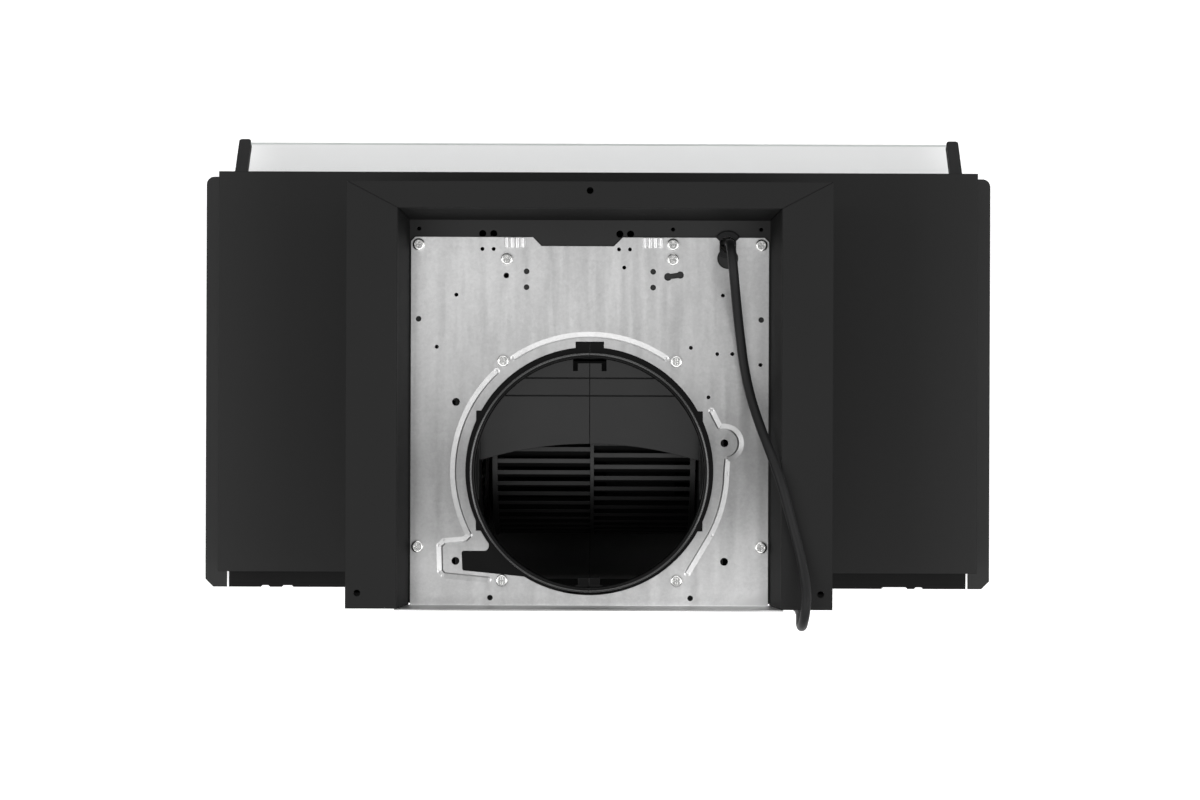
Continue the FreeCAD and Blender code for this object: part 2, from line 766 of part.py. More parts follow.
def plate_cuts():
    """Everything cut through the plate: outlet, slots, notch and holes."""
    low, high = deck_z - 1, cut_top
    x, y = plate_point(0, outlet_w)
    cuts = [upright(plate_hole_r, x, y, low, high)]
    ear_half, ear_front, ear_rear = 77.9, 133.4, 50.8
    cuts.append(block(x - ear_half, x + ear_half, wall_y - ear_front, wall_y - ear_rear, low, high))
    key_half, key_w = 9.8, 181.0
    cuts.append(block(x - key_half, x + key_half, wall_y - key_w, y, low, high))
    cuts.append(wire_window())
    notch = set_back([(39.3, -1), (39.3, 0), (33.4, 6.1), (-16.4, 6.1), (-22.5, 0), (-22.5, -1)])
    cuts.append(prism([plate_point(u, w) for u, w in notch], low, high))
    cuts.append(upright(slot_end_r, *plate_point(grommet_u, plate_depth - slot_length), low, high))
    cuts.append(prism(cable_neck(0), low, high))
    near = key_u, plate_depth - key_setback
    far = key_u - key_run, near[1] + key_rise
    cuts.append(upright(key_r, *plate_point(*near), low, high))
    cuts.append(upright(key_slot_r, *plate_point(*far), low, high))
    bar = [(near[0], near[1] - key_bar), (near[0], near[1] + key_bar),
           (far[0], far[1] + key_bar), (far[0], far[1] - key_bar)]
    cuts.append(prism([plate_point(u, w) for u, w in bar], low, high))
    cuts += drill(pin_holes, pin_hole_r, low, high)
    cuts += drill(tap_holes, tap_hole_r, low, high)
    cuts += drill(bolt_holes, bolt_hole_r, low, high)
    screws = corner_screws + blower_screw_places + tab_screw_places
    cuts += drill(screws, screw_hole_r, low, high)
    cuts += drill(screws, screw_head_r + seat_gap, plate_z, high)
    return Part.makeCompound(cuts)


def top_plate():
    """Galvanised plate with pressed beads and an up-turned rear edge."""
    half = plate_half
    clip = 3.0
    edge = sheet - upstand_out
    outline = [(half, edge), (half, plate_depth - clip), (half - clip, plate_depth),
               (clip - half, plate_depth), (-half, plate_depth - clip), (-half, edge)]
    flat = prism([plate_point(u, w) for u, w in outline], deck_z, plate_z)
    foot_half = inner_foot + upstand_lap
    top_half = inner_top + upstand_lap
    rear = [(box_x - foot_half, deck_z), (box_x + foot_half, deck_z), (box_x + top_half, rim_z - sheet),
            (box_x - top_half, rim_z - sheet)]
    upstand = along(rear, wall_y - edge, wall_y + upstand_out)
    plate = flat.fuse([upstand] + pressed_tabs()).cut(plate_beads())
    return plate.cut(plate_cuts()).removeSplitter()


def screw_group(places):
    return Part.makeCompound([pan_screw(*plate_point(u, w), plate_z) for u, w in places])


# Blower
tongue_angle = -99.5
spiral_start = -30.0
tongue_back = -50.0
shelf_front_y = ring_y - ring_bore_r
shelf_front_z = throat_z - 2.0
shelf_edge_r = 253.0
ring_edge = 0.8
ring_lip_r = 0.8
stop_half = 7.5
stop_depth = 5.0
stop_height = 7.0
hook_half = 11.5
hook_slot = 3.2
hook_length = 8.5
shelf_groove = 25.7
groove_step = 12.2
groove_width = 0.8
groove_depth = 1.0


def spiral(angle, extra=0.0):
    """Scroll wall at an angle below the front: it starts near the wheel and grows towards the rear."""
    grown = max(angle - spiral_start, 0.0) / (180.0 - spiral_start)
    r = scroll_near + (scroll_far - scroll_near) * grown + extra
    a = math.radians(angle)
    return axis_y - r * math.cos(a), axis_z - r * math.sin(a)


def shelf_height(y):
    """Height of the throat's sloping front shelf at a place along Y."""
    y1, z1 = spiral(tongue_angle)
    return shelf_front_z + (z1 - shelf_front_z) * (y - shelf_front_y) / (y1 - shelf_front_y)


def scroll_outline(start, extra, top):
    """Closed face in YZ: spiral from the tongue to the rear, rear wall up, then the given points back."""
    steps = 24
    angles = [start + (180.0 - start) * i / steps for i in range(steps + 1)]
    points = [V(0, *spiral(a, extra)) for a in angles]
    curve = Part.BSplineCurve()
    curve.interpolate(points)
    rest = [points[-1]] + [V(0, y, z) for y, z in top] + [points[0]]
    sides = [Part.LineSegment(a, b).toShape() for a, b in zip(rest, rest[1:])]
    return Part.Face(Part.Wire([curve.toShape()] + sides))


def blower_body():
    """Whole scroll with its flange and outlet ring, before it is split."""
    rear = axis_y + scroll_far
    outer_half = cavity_half + scroll_wall
    outer = scroll_outline(tongue_back, scroll_wall,
                           [(rear + scroll_wall, deck_z), (shelf_front_y - scroll_wall, deck_z),
                            (shelf_front_y - scroll_wall, shelf_front_z - 4 * scroll_wall)])
    cavity = scroll_outline(tongue_angle, 0.0,
                            [(rear, throat_z), (shelf_front_y, throat_z), (shelf_front_y, shelf_front_z)])
    body = outer.extrude(V(2 * outer_half, 0, 0))
    body.translate(V(box_x - outer_half, 0, 0))
    hollow = cavity.extrude(V(2 * cavity_half, 0, 0))
    hollow.translate(V(box_x - cavity_half, 0, 0))
    flange = block(box_x - flange_half, box_x + flange_half, ring_y - flange_half + scroll_wall,
                   ring_y + ring_r, throat_z, deck_z)
    ring = upright(ring_r, box_x, ring_y, throat_z, plate_z + ring_rise)
    lip_turn = ring_r - 1.1 * ring_lip_r
    ring = ring.fuse(Part.makeTorus(lip_turn, ring_lip_r, V(box_x, ring_y, plate_z + ring_rise)))
    bore = upright(ring_bore_r, box_x, ring_y, throat_z, plate_z + ring_rise + 1)
    flare = Part.makeCone(ring_bore_r, ring_bore_r + 2 * ring_edge, 2 * ring_edge,
                          V(box_x, ring_y, plate_z + ring_rise - ring_edge))
    lip = upright(shelf_edge_r, box_x, axis_y + shelf_edge_r, throat_z - 40, throat_z)
    lip = lip.common(block(box_x - cavity_half, box_x + cavity_half, axis_y, axis_y + 30, 0, throat_z))
    body = body.fuse([flange, ring]).cut(hollow.fuse([bore, lip, flare]))
    stop_top = throat_z - seat_gap
    stop = block(box_x - stop_half, box_x + stop_half, rear - stop_depth, rear + 1,
                 stop_top - stop_height, stop_top)
    body = body.fuse(stop)
    tongue = hook_half - hook_slot
    slots = [block(box_x - hook_half, box_x + hook_half, shelf_front_y + seat_gap, shelf_front_y + hook_slot,
                   throat_z - 8 * scroll_wall, throat_z)]
    for side in (-1, 1):
        slots.append(block(box_x + side * tongue, box_x + side * hook_half, shelf_front_y + seat_gap,
                           shelf_front_y + hook_length, throat_z - 8 * scroll_wall, throat_z))
    inlet = spindle(inlet_r, box_x - 2 * outer_half, box_x + 2 * outer_half, axis_y, axis_z)
    grooves = []
    for back, half in ((shelf_groove, cavity_half), (shelf_groove - groove_step, cavity_half * 0.68)):
        y = shelf_front_y + back
        low, high = shelf_height(y) - groove_depth, shelf_height(y) + 1
        wide = groove_width / 2
        grooves.append(block(box_x - half, box_x + half, y - wide, y + wide, low, high))
    posts = drill(blower_screw_places, screw_hole_r, throat_z - 12, deck_z + 1)
    return body.cut([inlet] + grooves + slots + posts)


def blower_halves():
    """Left and right halves, parted by the moulding seam."""
    body = blower_body()
    big = 400.0
    g = seam_gap / 2
    halves = {}
    for name, side in SIDES:
        keep = block(box_x + side * g, box_x + side * big, -big, big, -big, big)
        halves[name] = body.common(keep)
    return halves


def blade(shift, x0, x1):
    """One forward-curved blade at an angle round the wheel's axis, thicker towards its tip."""
    inner = wheel_r - blade_depth
    root = blade_thick / 2
    end = blade_tip / 2
    waist = (root + end) / 2
    tip = wheel_r - 0.6
    mid = (inner + tip) / 2
    lead = 6.0

    def spot(r, ahead, offset):
        a = math.radians(shift + ahead)
        b = a + offset / r
        return V(x0, axis_y + r * math.cos(b), axis_z + r * math.sin(b))
    bend = lead * 0.3
    front = Part.Arc(spot(inner, 0, root), spot(mid, bend, waist), spot(tip, lead, end)).toShape()
    back = Part.Arc(spot(tip, lead, -end), spot(mid, bend, -waist), spot(inner, 0, -root)).toShape()
    ends = [Part.LineSegment(front.lastVertex().Point, back.firstVertex().Point).toShape(),
            Part.LineSegment(back.lastVertex().Point, front.firstVertex().Point).toShape()]
    face = Part.Face(Part.Wire([front, ends[0], back, ends[1]]))
    return face.extrude(V(x1 - x0, 0, 0))


hub_r = 11.0
hub_out = 14.0
hub_in = 6.0
disc_half = 1.25
bite = 0.4


def blower_wheel():
    """Double-inlet wheel: a disc with a hub, two rows of blades set half a pitch apart, end rings."""
    half = wheel_width / 2
    disc = spindle(wheel_r, wheel_x - disc_half, wheel_x + disc_half, axis_y, axis_z)
    hub = spindle(hub_r, wheel_x - hub_in, wheel_x + hub_out, axis_y, axis_z)
    pieces = [hub]
    pitch = 360.0 / blade_count
    for name, side in SIDES:
        end = wheel_x + side * (half - side * wheel_skew)
        ring = spindle(wheel_r, end, end - side * wheel_ring, axis_y, axis_z)
        eye = spindle(wheel_r - blade_depth, end + side, end - side * (wheel_ring + 1), axis_y, axis_z)
        ring = ring.cut(eye)
        pieces.append(ring)
        start = wheel_x + side * (disc_half - bite)
        stop = end - side * (wheel_ring - bite)
        stagger = wheel_turn + (pitch / 2 if side > 0 else 0.0)
        pieces += [blade(i * pitch + stagger, start, stop) for i in range(blade_count)]
    wheel = disc.fuse(pieces)
    return wheel.cut(spindle(shaft_r + running_gap, wheel_x - half, wheel_x + half, axis_y, axis_z))


nut_r = 7.5
nut_h = 6.5


def wheel_nut():
    """Hexagon nut on the shaft's end, against the hub."""
    x0 = wheel_x + hub_out
    turns = [math.radians(60 * i) for i in range(6)]
    corners = [(axis_y + nut_r * math.cos(a), axis_z + nut_r * math.sin(a)) for a in turns]
    nut = across(corners, x0, x0 + nut_h)
    return nut.cut(spindle(shaft_r + running_gap, x0 - 1, x0 + nut_h + 1, axis_y, axis_z))


# Motor, in the wheel's left inlet
motor_front = wheel_x - hub_in - 4.0
motor_back = motor_front - motor_length
cap_thick = 3.0
cap_back = motor_back - cap_thick
rotor_r = 25.0
rotor_gap = 0.5
stack_gap = 11.0


def motor_shaft():
    return spindle(shaft_r, cap_back - bearing_width, wheel_x + hub_out + nut_h + 2, axis_y, axis_z)


def collar_tube(r_out, r_in, x0, x1):
    """Round sleeve along the motor's axis."""
    low, high = min(x0, x1), max(x0, x1)
    return spindle(r_out, low, high, axis_y, axis_z).cut(spindle(r_in, low - 1, high + 1, axis_y, axis_z))


def motor_can():
    """Cup with a bearing seat in its front face."""
    shell = collar_tube(motor_r, motor_r - motor_wall, motor_back, motor_front)
    face = collar_tube(motor_r, bearing_r, motor_front - motor_wall, motor_front)
    seat = collar_tube(bearing_r + motor_wall, bearing_r, motor_front - bearing_width, motor_front)
    return join(shell, face, seat)


def motor_cap():
    """Rear cover with the second bearing seat and three fixing lugs."""
    cover = collar_tube(motor_r, bearing_r, cap_back, motor_back)
    seat = collar_tube(bearing_r + motor_wall, bearing_r, cap_back - bearing_width + cap_thick, motor_back)
    return join(cover, seat)


def motor_bearings():
    front = collar_tube(bearing_r, shaft_r + running_gap, motor_front - bearing_width, motor_front)
    back = collar_tube(bearing_r, shaft_r + running_gap, cap_back - bearing_width + cap_thick, motor_back)
    return Part.makeCompound([front, back])


def motor_stator():
    return collar_tube(motor_r - motor_wall, rotor_r + rotor_gap,
                       motor_back + stack_gap, motor_front - stack_gap)


def motor_rotor():
    return collar_tube(rotor_r, shaft_r + running_gap, motor_back + stack_gap, motor_front - stack_gap)


def motor_bracket():
    """Three-armed spider on the blower's left inlet, with posts to the motor's rear cover."""
    face = box_x - cavity_half - scroll_wall
    thick = 3.0
    arm_half = 7.0
    reach = inlet_r + 12.0
    post_r = 4.0
    post_at = motor_r * 0.6
    spider = collar_tube(post_at + 2 * post_r, post_at - 2 * post_r, face - thick, face)
    for turn in (90, 210, 330):
        a = math.radians(turn)
        arm = block(face - thick, face, axis_y + post_at, axis_y + reach,
                    axis_z - arm_half, axis_z + arm_half)
        arm.rotate(V(0, axis_y, axis_z), V(1, 0, 0), turn)
        post = spindle(post_r, face, cap_back, axis_y + post_at * math.cos(a), axis_z + post_at * math.sin(a))
        spider = spider.fuse(arm).fuse(post)
    return spider.removeSplitter()


# Electrics under the deck
cap_inset = 4.0
cap_setback = 38.7
cap_place = (inner_foot + cap_inset, plate_depth - cap_setback)
cap_r = 15.0
cap_length = 62.0
cap_corner = 2.0
band = 1.2
band_slack = 0.1
band_drop = 30.0
band_height = 12.0
strap_half = 6.0


def run_capacitor():
    x, y = plate_point(*cap_place)
    can = upright(cap_r, x, y, deck_under - cap_length, deck_under)
    low = [e for e in can.Edges if e.Closed and e.BoundBox.ZMax < deck_under - cap_length + 1]
    return can.makeFillet(cap_corner, low[:1])


def capacitor_clip():
    """Band round the capacitor with a strap up to the deck."""
    x, y = plate_point(*cap_place)
    inner = cap_r + band_slack
    low = deck_under - band_drop - band_height
    ring = upright(inner + band, x, y, low, low + band_height)
    strap = block(x - strap_half, x + strap_half, y + inner, y + inner + band, low, deck_under)
    return join(ring, strap).cut(upright(inner, x, y, low - 1, deck_under + 1))


box_margin = 8.0
box_outside = 18.0
box_fore = 30.0
box_aft = 32.0
box_tall = 36.0


def terminal_span():
    x0, y = plate_point(-plate_half - box_outside, grommet_w)
    x1, y = plate_point(tab_screw_places[-1][0] + box_margin, grommet_w)
    return x0, x1, y - box_fore, y + box_aft


def terminal_box():
    """Folded box under the deck, held by the plate's screws, open below, with a hole for the grommet."""
    x0, x1, y0, y1 = terminal_span()
    shell = block(x0, x1, y0, y1, deck_under - box_tall, deck_under)
    inside = block(x0 + sheet, x1 - sheet, y0 + sheet, y1 - sheet,
                   deck_under - box_tall - 1, deck_under - sheet)
    low, high = deck_under - 5, deck_under + 5
    holes = drill([(grommet_u, grommet_w)], grommet_waist_r + waist_gap, low, high)
    holes += drill(corner_screws + tab_screw_places, screw_hole_r, low, high)
    holes += drill(deck_through + deck_pin_holes, pin_hole_r, low, high)
    holes += drill(deck_tap_holes, deck_hole_r, low, high)
    return shell.cut(inside).cut(Part.makeCompound(holes))


def terminal_cover():
    """Lid of the terminal box with two turned-up edges outside its walls."""
    x0, x1, y0, y1 = terminal_span()
    low = deck_under - box_tall
    flat = block(x0 - sheet, x1 + sheet, y0, y1, low - sheet, low)
    edges = [block(x0 - sheet, x0, y0, y1, low - sheet, low + foot),
             block(x1, x1 + sheet, y0, y1, low - sheet, low + foot)]
    return join(flat, *edges)


def terminal_block():
    """Three-way screw terminal on the box's cover."""
    x, y = plate_point(grommet_u, grommet_w)
    low = deck_under - box_tall
    body = block(x - 18, x + 18, y - 8, y + 8, low, low + 15)
    wells = [upright(2.6, x + step * 11, y, low + 8, low + 20) for step in (-1, 0, 1)]
    return body.cut(Part.makeCompound(wells))


lip_rise = 1.8
lip_round = 1.0


def cord_grommet():
    """Rubber grommet through the deck, with a waist and a lip on each side."""
    x, y = plate_point(grommet_u, grommet_w)
    low = deck_under - sheet - lip_rise
    top = deck_z + lip_rise
    upper = upright(grommet_r, x, y, deck_z, top)
    rim = [e for e in upper.Edges if e.Closed and e.BoundBox.ZMin > top - 0.01]
    upper = upper.makeFillet(lip_round, rim[:1])
    upper = upper.common(prism(cable_neck(seat_gap), deck_z, top))
    lower = upright(grommet_r, x, y, low, low + lip_rise)
    waist = upright(grommet_waist_r, x, y, low, deck_z)
    return join(upper, lower, waist).cut(upright(grommet_bore_r, x, y, low - 1, top + 1))


# Mains lead: out of the grommet, over the plate, up across the rim, over the rear edge and along the floor
cord_points = [(-90.2, -81.0, 208.0), (-90.2, -81.0, 223.0), (-91.2, -71.2, 233.0), (-92.5, -57.0, 232.6),
               (-94.7, -39.0, 224.0), (-97.2, -20.0, 218.2), (-99.9, 2.0, 218.4), (-104.0, 23.0, 222.5),
               (-109.8, 43.0, 234.5), (-116.5, 62.0, 248.0), (-123.5, 82.0, 255.6), (-129.6, 105.0, 254.4),
               (-136.2, 129.0, 254.6), (-139.8, 150.0, 259.2), (-140.0, 160.7, 262.6), (-139.2, 170.4, 260.4),
               (-138.4, 176.9, 254.1), (-138.4, 179.9, 243.5), (-139.4, 180.6, 223.5), (-142.0, 180.4, 190.0),
               (-146.0, 179.8, 140.0), (-147.5, 179.0, 95.0), (-143.0, 178.2, 55.0), (-128.0, 177.6, 24.0),
               (-105.0, 177.0, 7.4), (-79.0, 176.5, 4.0), (-46.0, 175.6, 4.3), (-14.0, 175.0, 4.0),
               (6.0, 174.9, 6.2), (28.0, 174.8, 12.0), (48.0, 174.8, 12.0)]


def rounded_path(points):
    """Straight runs joined by tangent arcs, each as large as its shorter run allows."""
    share = 0.45
    places = [V(*p) for p in points]
    edges = []
    start = places[0]
    for before, here, after in zip(places, places[1:], places[2:]):
        a = before - here
        b = after - here
        half_turn = (math.pi - a.getAngle(b)) / 2
        tangent = share * min(a.Length, b.Length)
        radius = tangent / math.tan(half_turn)
        a.normalize()
        b.normalize()
        first = here + a * tangent
        last = here + b * tangent
        bisector = (a + b).normalize()
        middle = here + bisector * (radius / math.cos(half_turn) - radius)
        edges.append(Part.LineSegment(start, first).toShape())
        edges.append(Part.Arc(first, middle, last).toShape())
        print("cord bend radius", round(radius, 1))
        start = last
    edges.append(Part.LineSegment(start, places[-1]).toShape())
    return Part.Wire(edges)


def power_cord():
    path = rounded_path(cord_points)
    first, second = V(*cord_points[0]), V(*cord_points[1])
    circle = Part.Wire(Part.makeCircle(cord_r, first, second - first))
    tube = path.makePipeShell([circle], True, False)
    full = path.Length * math.pi * cord_r ** 2
    print("cord length", round(path.Length, 1), "section times length", round(full, 1))
    return tube


plug_x, plug_y, plug_z = cord_points[-1]
plug_neck = 20.0
plug_length = 34.0
plug_deep = 20.0
plug_tall = 24.0
blade_spread = 6.35
blade_half = 3.2
blade_length = 16.0
earth_r = 2.4


def plug_body():
    """Moulded plug in line with the lead, lying on its narrow side."""
    x1 = plug_x + plug_neck
    body = block(x1, x1 + plug_length, plug_y - plug_deep / 2, plug_y + plug_deep / 2,
                 plug_z - plug_tall / 2, plug_z + plug_tall / 2)
    edges = [e for e in body.Edges if e.BoundBox.XLength > 1]
    body = body.makeFillet(5.0, edges)
    neck = Part.makeCone(cord_r + 1.2, plug_deep * 0.42, plug_neck + 1, V(plug_x, plug_y, plug_z), V(1, 0, 0))
    return join(body, neck)


def plug_pins():
    """Two flat blades and a round earth pin."""
    x0 = plug_x + plug_neck + plug_length
    blade_y = plug_y - 4.5
    pins = []
    for side in (-1, 1):
        z = plug_z + side * blade_spread
        pins.append(block(x0, x0 + blade_length, blade_y - 0.75, blade_y + 0.75,
                          z - blade_half, z + blade_half))
    pins.append(spindle(earth_r, x0, x0 + blade_length + 3, plug_y + 5.5, plug_z))
    return Part.makeCompound(pins)


# Grease filters
filter_low = 1.5
filter_lip = 3.0
mesh_thick = 4.0
pad_half = 24.0
pad_length = 32.0
latch_half = 14.0
latch_thick = 1.6
latch_reach = 0.8
latch_length = 21.0
pull_half = 10.0
tab_reach = 7.0


def filter_frame(side):
    """Channel frame with a lip under the mesh, two rear tabs and a pad that guides the latch."""
    x = filter_centre(side)
    half = filter_width / 2
    y0, y1 = filter_front_y, filter_rear_y
    z0, z1 = filter_low, filter_low + filter_thick
    r = filter_rail
    frame = block(x - half, x + half, y0, y1, z0, z1)
    frame = frame.cut(block(x - half + r, x + half - r, y0 + r, y1 - r, z0 + sheet, z1 + 1))
    frame = frame.cut(block(x - half + r + filter_lip, x + half - r - filter_lip, y0 + r + filter_lip,
                            y1 - r - filter_lip, z0 - 1, z1))
    frame = frame.fuse(block(x - pad_half, x + pad_half, y0, y0 + pad_length, z0, z1))
    tab_z = pan_top + seat_gap
    for step in (-1, 1):
        frame = frame.fuse(block(x + step * half / 2 - 10, x + step * half / 2 + 10, y1 - 2, y1 + tab_reach,
                                 tab_z, tab_z + 1.2))
    gap = 0.3
    slot = block(x - latch_half - gap, x + latch_half + gap, y0 - 1, y0 + latch_length - latch_reach
                 + latch_travel + gap, latch_z - gap, latch_z + latch_thick + gap)
    window = block(x - pull_half - gap, x + pull_half + gap, y0 + 6, y0 + 22, z0 - 1, latch_z)
    return frame.removeSplitter().cut(slot).cut(window)


latch_z = pan_top + 0.6


def filter_latch(side):
    """Sliding bolt with a finger pull below the pad."""
    x = filter_centre(side)
    y0 = filter_front_y
    bolt = block(x - latch_half, x + latch_half, y0 - latch_reach, y0 - latch_reach + latch_length,
                 latch_z, latch_z + latch_thick)
    pull = block(x - pull_half, x + pull_half, y0 + 7, y0 + 7 + latch_travel, filter_low - 0.7, latch_z)
    return join(bolt, pull)


def filter_mesh(side):
    """Layered mesh pack that lies in the frame, cut round the latch pad."""
    x = filter_centre(side)
    half = filter_width / 2 - filter_rail - 0.2
    z0 = filter_low + sheet
    pack = block(x - half, x + half, filter_front_y + filter_rail + 0.2, filter_rear_y - filter_rail - 0.2,
                 z0, z0 + mesh_thick)
    return pack.cut(block(x - pad_half - 0.2, x + pad_half + 0.2, filter_front_y,
                          filter_front_y + pad_length + 0.2, 0, z0 + filter_thick))


def main():
    os.makedirs("parts", exist_ok=True)
    save("canopy_shell", canopy_shell())
    save("bottom_pan", bottom_pan())
    save("rail_screws", rail_screws())
    save("front_panel", front_panel())
    save("control_bezel", control_bezel())
    save("control_board", control_board())
    for number, x in enumerate(button_places, 1):
        save("push_button_" + str(number), push_button(x))
    save("visor_glass", visor_glass())
    save("visor_pins", visor_pins())
    halves = blower_halves()
    for name, side in SIDES:
        save("side_rail_" + name, side_rail(side))
        save("visor_arm_" + name, visor_arm(side))
        save("visor_bracket_" + name, visor_bracket(side))
        save("box_side_" + name, box_side(side))
        save("blower_half_" + name, halves[name])
        save("filter_frame_" + name, filter_frame(side))
        save("filter_mesh_" + name, filter_mesh(side))
        save("filter_latch_" + name, filter_latch(side))
        save("lamp_ring_" + name, lamp_ring(side))
        save("lamp_lens_" + name, lamp_lens(side))
    save("box_front", box_front())
    save("box_rear", box_rear())
    save("deck_plate", deck_plate())
    save("top_plate", top_plate())
    save("plate_screws", screw_group(corner_screws))
    save("blower_screws", screw_group(blower_screw_places))
    save("tab_screws", screw_group(tab_screw_places))
    save("blower_wheel", blower_wheel())
    save("wheel_nut", wheel_nut())
    save("motor_shaft", motor_shaft())
    save("motor_rotor", motor_rotor())
    save("motor_stator", motor_stator())
    save("motor_can", motor_can())
    save("motor_cap", motor_cap())
    save("motor_bearings", motor_bearings())
    save("motor_bracket", motor_bracket())
    save("run_capacitor", run_capacitor())
    save("capacitor_clip", capacitor_clip())
    save("terminal_box", terminal_box())
    save("terminal_cover", terminal_cover())
    save("terminal_block", terminal_block())
    save("cord_grommet", cord_grommet())
    save("power_cord", power_cord())
    save("plug_body", plug_body())
    save("plug_pins", plug_pins())


main()
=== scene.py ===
# %% [markdown]
# # Range hood insert, dressed for a studio photograph
# A built-in range hood is a thin black canopy with a motor box on it. The solids are already exact, so
# this lesson loads them, gives every sheet, moulding and glass its finish, makes two kinds of piece anew,
# the round lead and the mesh of the filters, and lights the whole for a picture from above.

# %% Load the solids
import math

import bpy
import numpy as np
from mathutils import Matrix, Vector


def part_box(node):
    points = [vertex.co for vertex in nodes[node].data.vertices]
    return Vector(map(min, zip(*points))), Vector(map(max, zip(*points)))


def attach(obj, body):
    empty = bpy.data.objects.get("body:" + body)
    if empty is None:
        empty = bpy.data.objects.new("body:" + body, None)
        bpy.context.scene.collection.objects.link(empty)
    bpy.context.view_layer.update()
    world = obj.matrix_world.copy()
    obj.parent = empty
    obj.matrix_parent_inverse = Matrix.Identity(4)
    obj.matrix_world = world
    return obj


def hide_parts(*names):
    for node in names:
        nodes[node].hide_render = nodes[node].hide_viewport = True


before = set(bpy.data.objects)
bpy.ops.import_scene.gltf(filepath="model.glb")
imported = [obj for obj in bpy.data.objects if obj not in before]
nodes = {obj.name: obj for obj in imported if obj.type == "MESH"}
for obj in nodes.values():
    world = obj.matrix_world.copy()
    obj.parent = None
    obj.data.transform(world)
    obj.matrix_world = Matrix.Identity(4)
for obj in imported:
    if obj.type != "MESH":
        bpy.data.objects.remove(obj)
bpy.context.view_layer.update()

# %% [markdown]
# ## Nodes and wires
# Blender's shader editor is a graph of nodes and wires. Each finish could be wired up there by hand,
# but then nothing could be repeated or read back. Written as code, the same few moves come back all the
# time: add a node, fill its sockets, do sums, mix two colours. This class holds those moves for any
# node tree, so that the materials and the world can share them.

# %% Graph
# Places of a Mix node's sockets: the share, what is mixed and what comes out, as numbers or colours.
MIX_SHARE = 0
NUMBER_A, NUMBER_B, NUMBER_OUT = 2, 3, 0
COLOUR_A, COLOUR_B, COLOUR_OUT = 6, 7, 2


def as_colour(tone):
    """A colour stays as it is, and a grey becomes three equal parts."""
    return tone if isinstance(tone, tuple) else (tone, tone, tone)


class Graph:
    """A node tree, its coordinates, and the moves that every finish and the world need."""

    def __init__(self, tree):
        self.tree = tree
        self.coordinates = self.add("ShaderNodeTexCoord").outputs

    def add(self, kind, sockets=None, **settings):
        """New node: settings are its own properties, and sockets says what goes into which input."""
        node = self.tree.nodes.new(kind)
        for key, value in settings.items():
            setattr(node, key, value)
        for key, value in (sockets or {}).items():
            self.feed(node.inputs[key], value)
        return node

    def feed(self, socket, value):
        """Join another node's output to a socket, or set the socket to a number, a colour or a vector."""
        if isinstance(value, bpy.types.NodeSocket):
            self.tree.links.new(value, socket)
        elif socket.type == "RGBA":
            socket.default_value = (*as_colour(value), 1.0)
        else:
            socket.default_value = value

    def math(self, operation, a, b=0.0):
        """One of Blender's sums with one or two numbers."""
        return self.add("ShaderNodeMath", {0: a, 1: b}, operation=operation).outputs["Value"]

    def span(self, value, low, high):
        """Share of the way from low to high: the value less low, divided by high less low."""
        return self.math("DIVIDE", self.math("SUBTRACT", value, low), high - low)

    def between(self, share, a, b):
        """Number on the way from a to b: a where the share is 0, b where it is 1."""
        node = self.add("ShaderNodeMix", {MIX_SHARE: share, NUMBER_A: a, NUMBER_B: b})
        return node.outputs[NUMBER_OUT]

    def mix(self, share, a, b, blend="MIX"):
        """Two colours mixed by a share, in one of Blender's blend modes."""
        sockets = {MIX_SHARE: share, COLOUR_A: a, COLOUR_B: b}
        return self.add("ShaderNodeMix", sockets, data_type="RGBA", blend_type=blend).outputs[COLOUR_OUT]

    def times(self, a, b):
        """Product of two colours, part by part."""
        return self.mix(1.0, a, b, "MULTIPLY")

    def axis(self, letter, vector=None):
        """One part of a vector, which is the object's own place in metres unless another is named."""
        split = self.add("ShaderNodeSeparateXYZ", {"Vector": vector or self.coordinates["Object"]})
        return split.outputs[letter]


# %% [markdown]
# ## Patterns for a finish
# A finish needs patterns: noise for clouds and grain, cells for crystals, ramps that turn a pattern
# into a tone, and a normal that rounds the edges. Pictures painted on an unwrapped mesh would do as
# well, but folded sheets unwrap badly. Object coordinates need no unwrapping, and as every piece sits
# at the origin in metres, a pattern in them has a real size.

# %% Finish
EDGE_SAMPLES = 6
RAMP_MIDDLE = 0.5


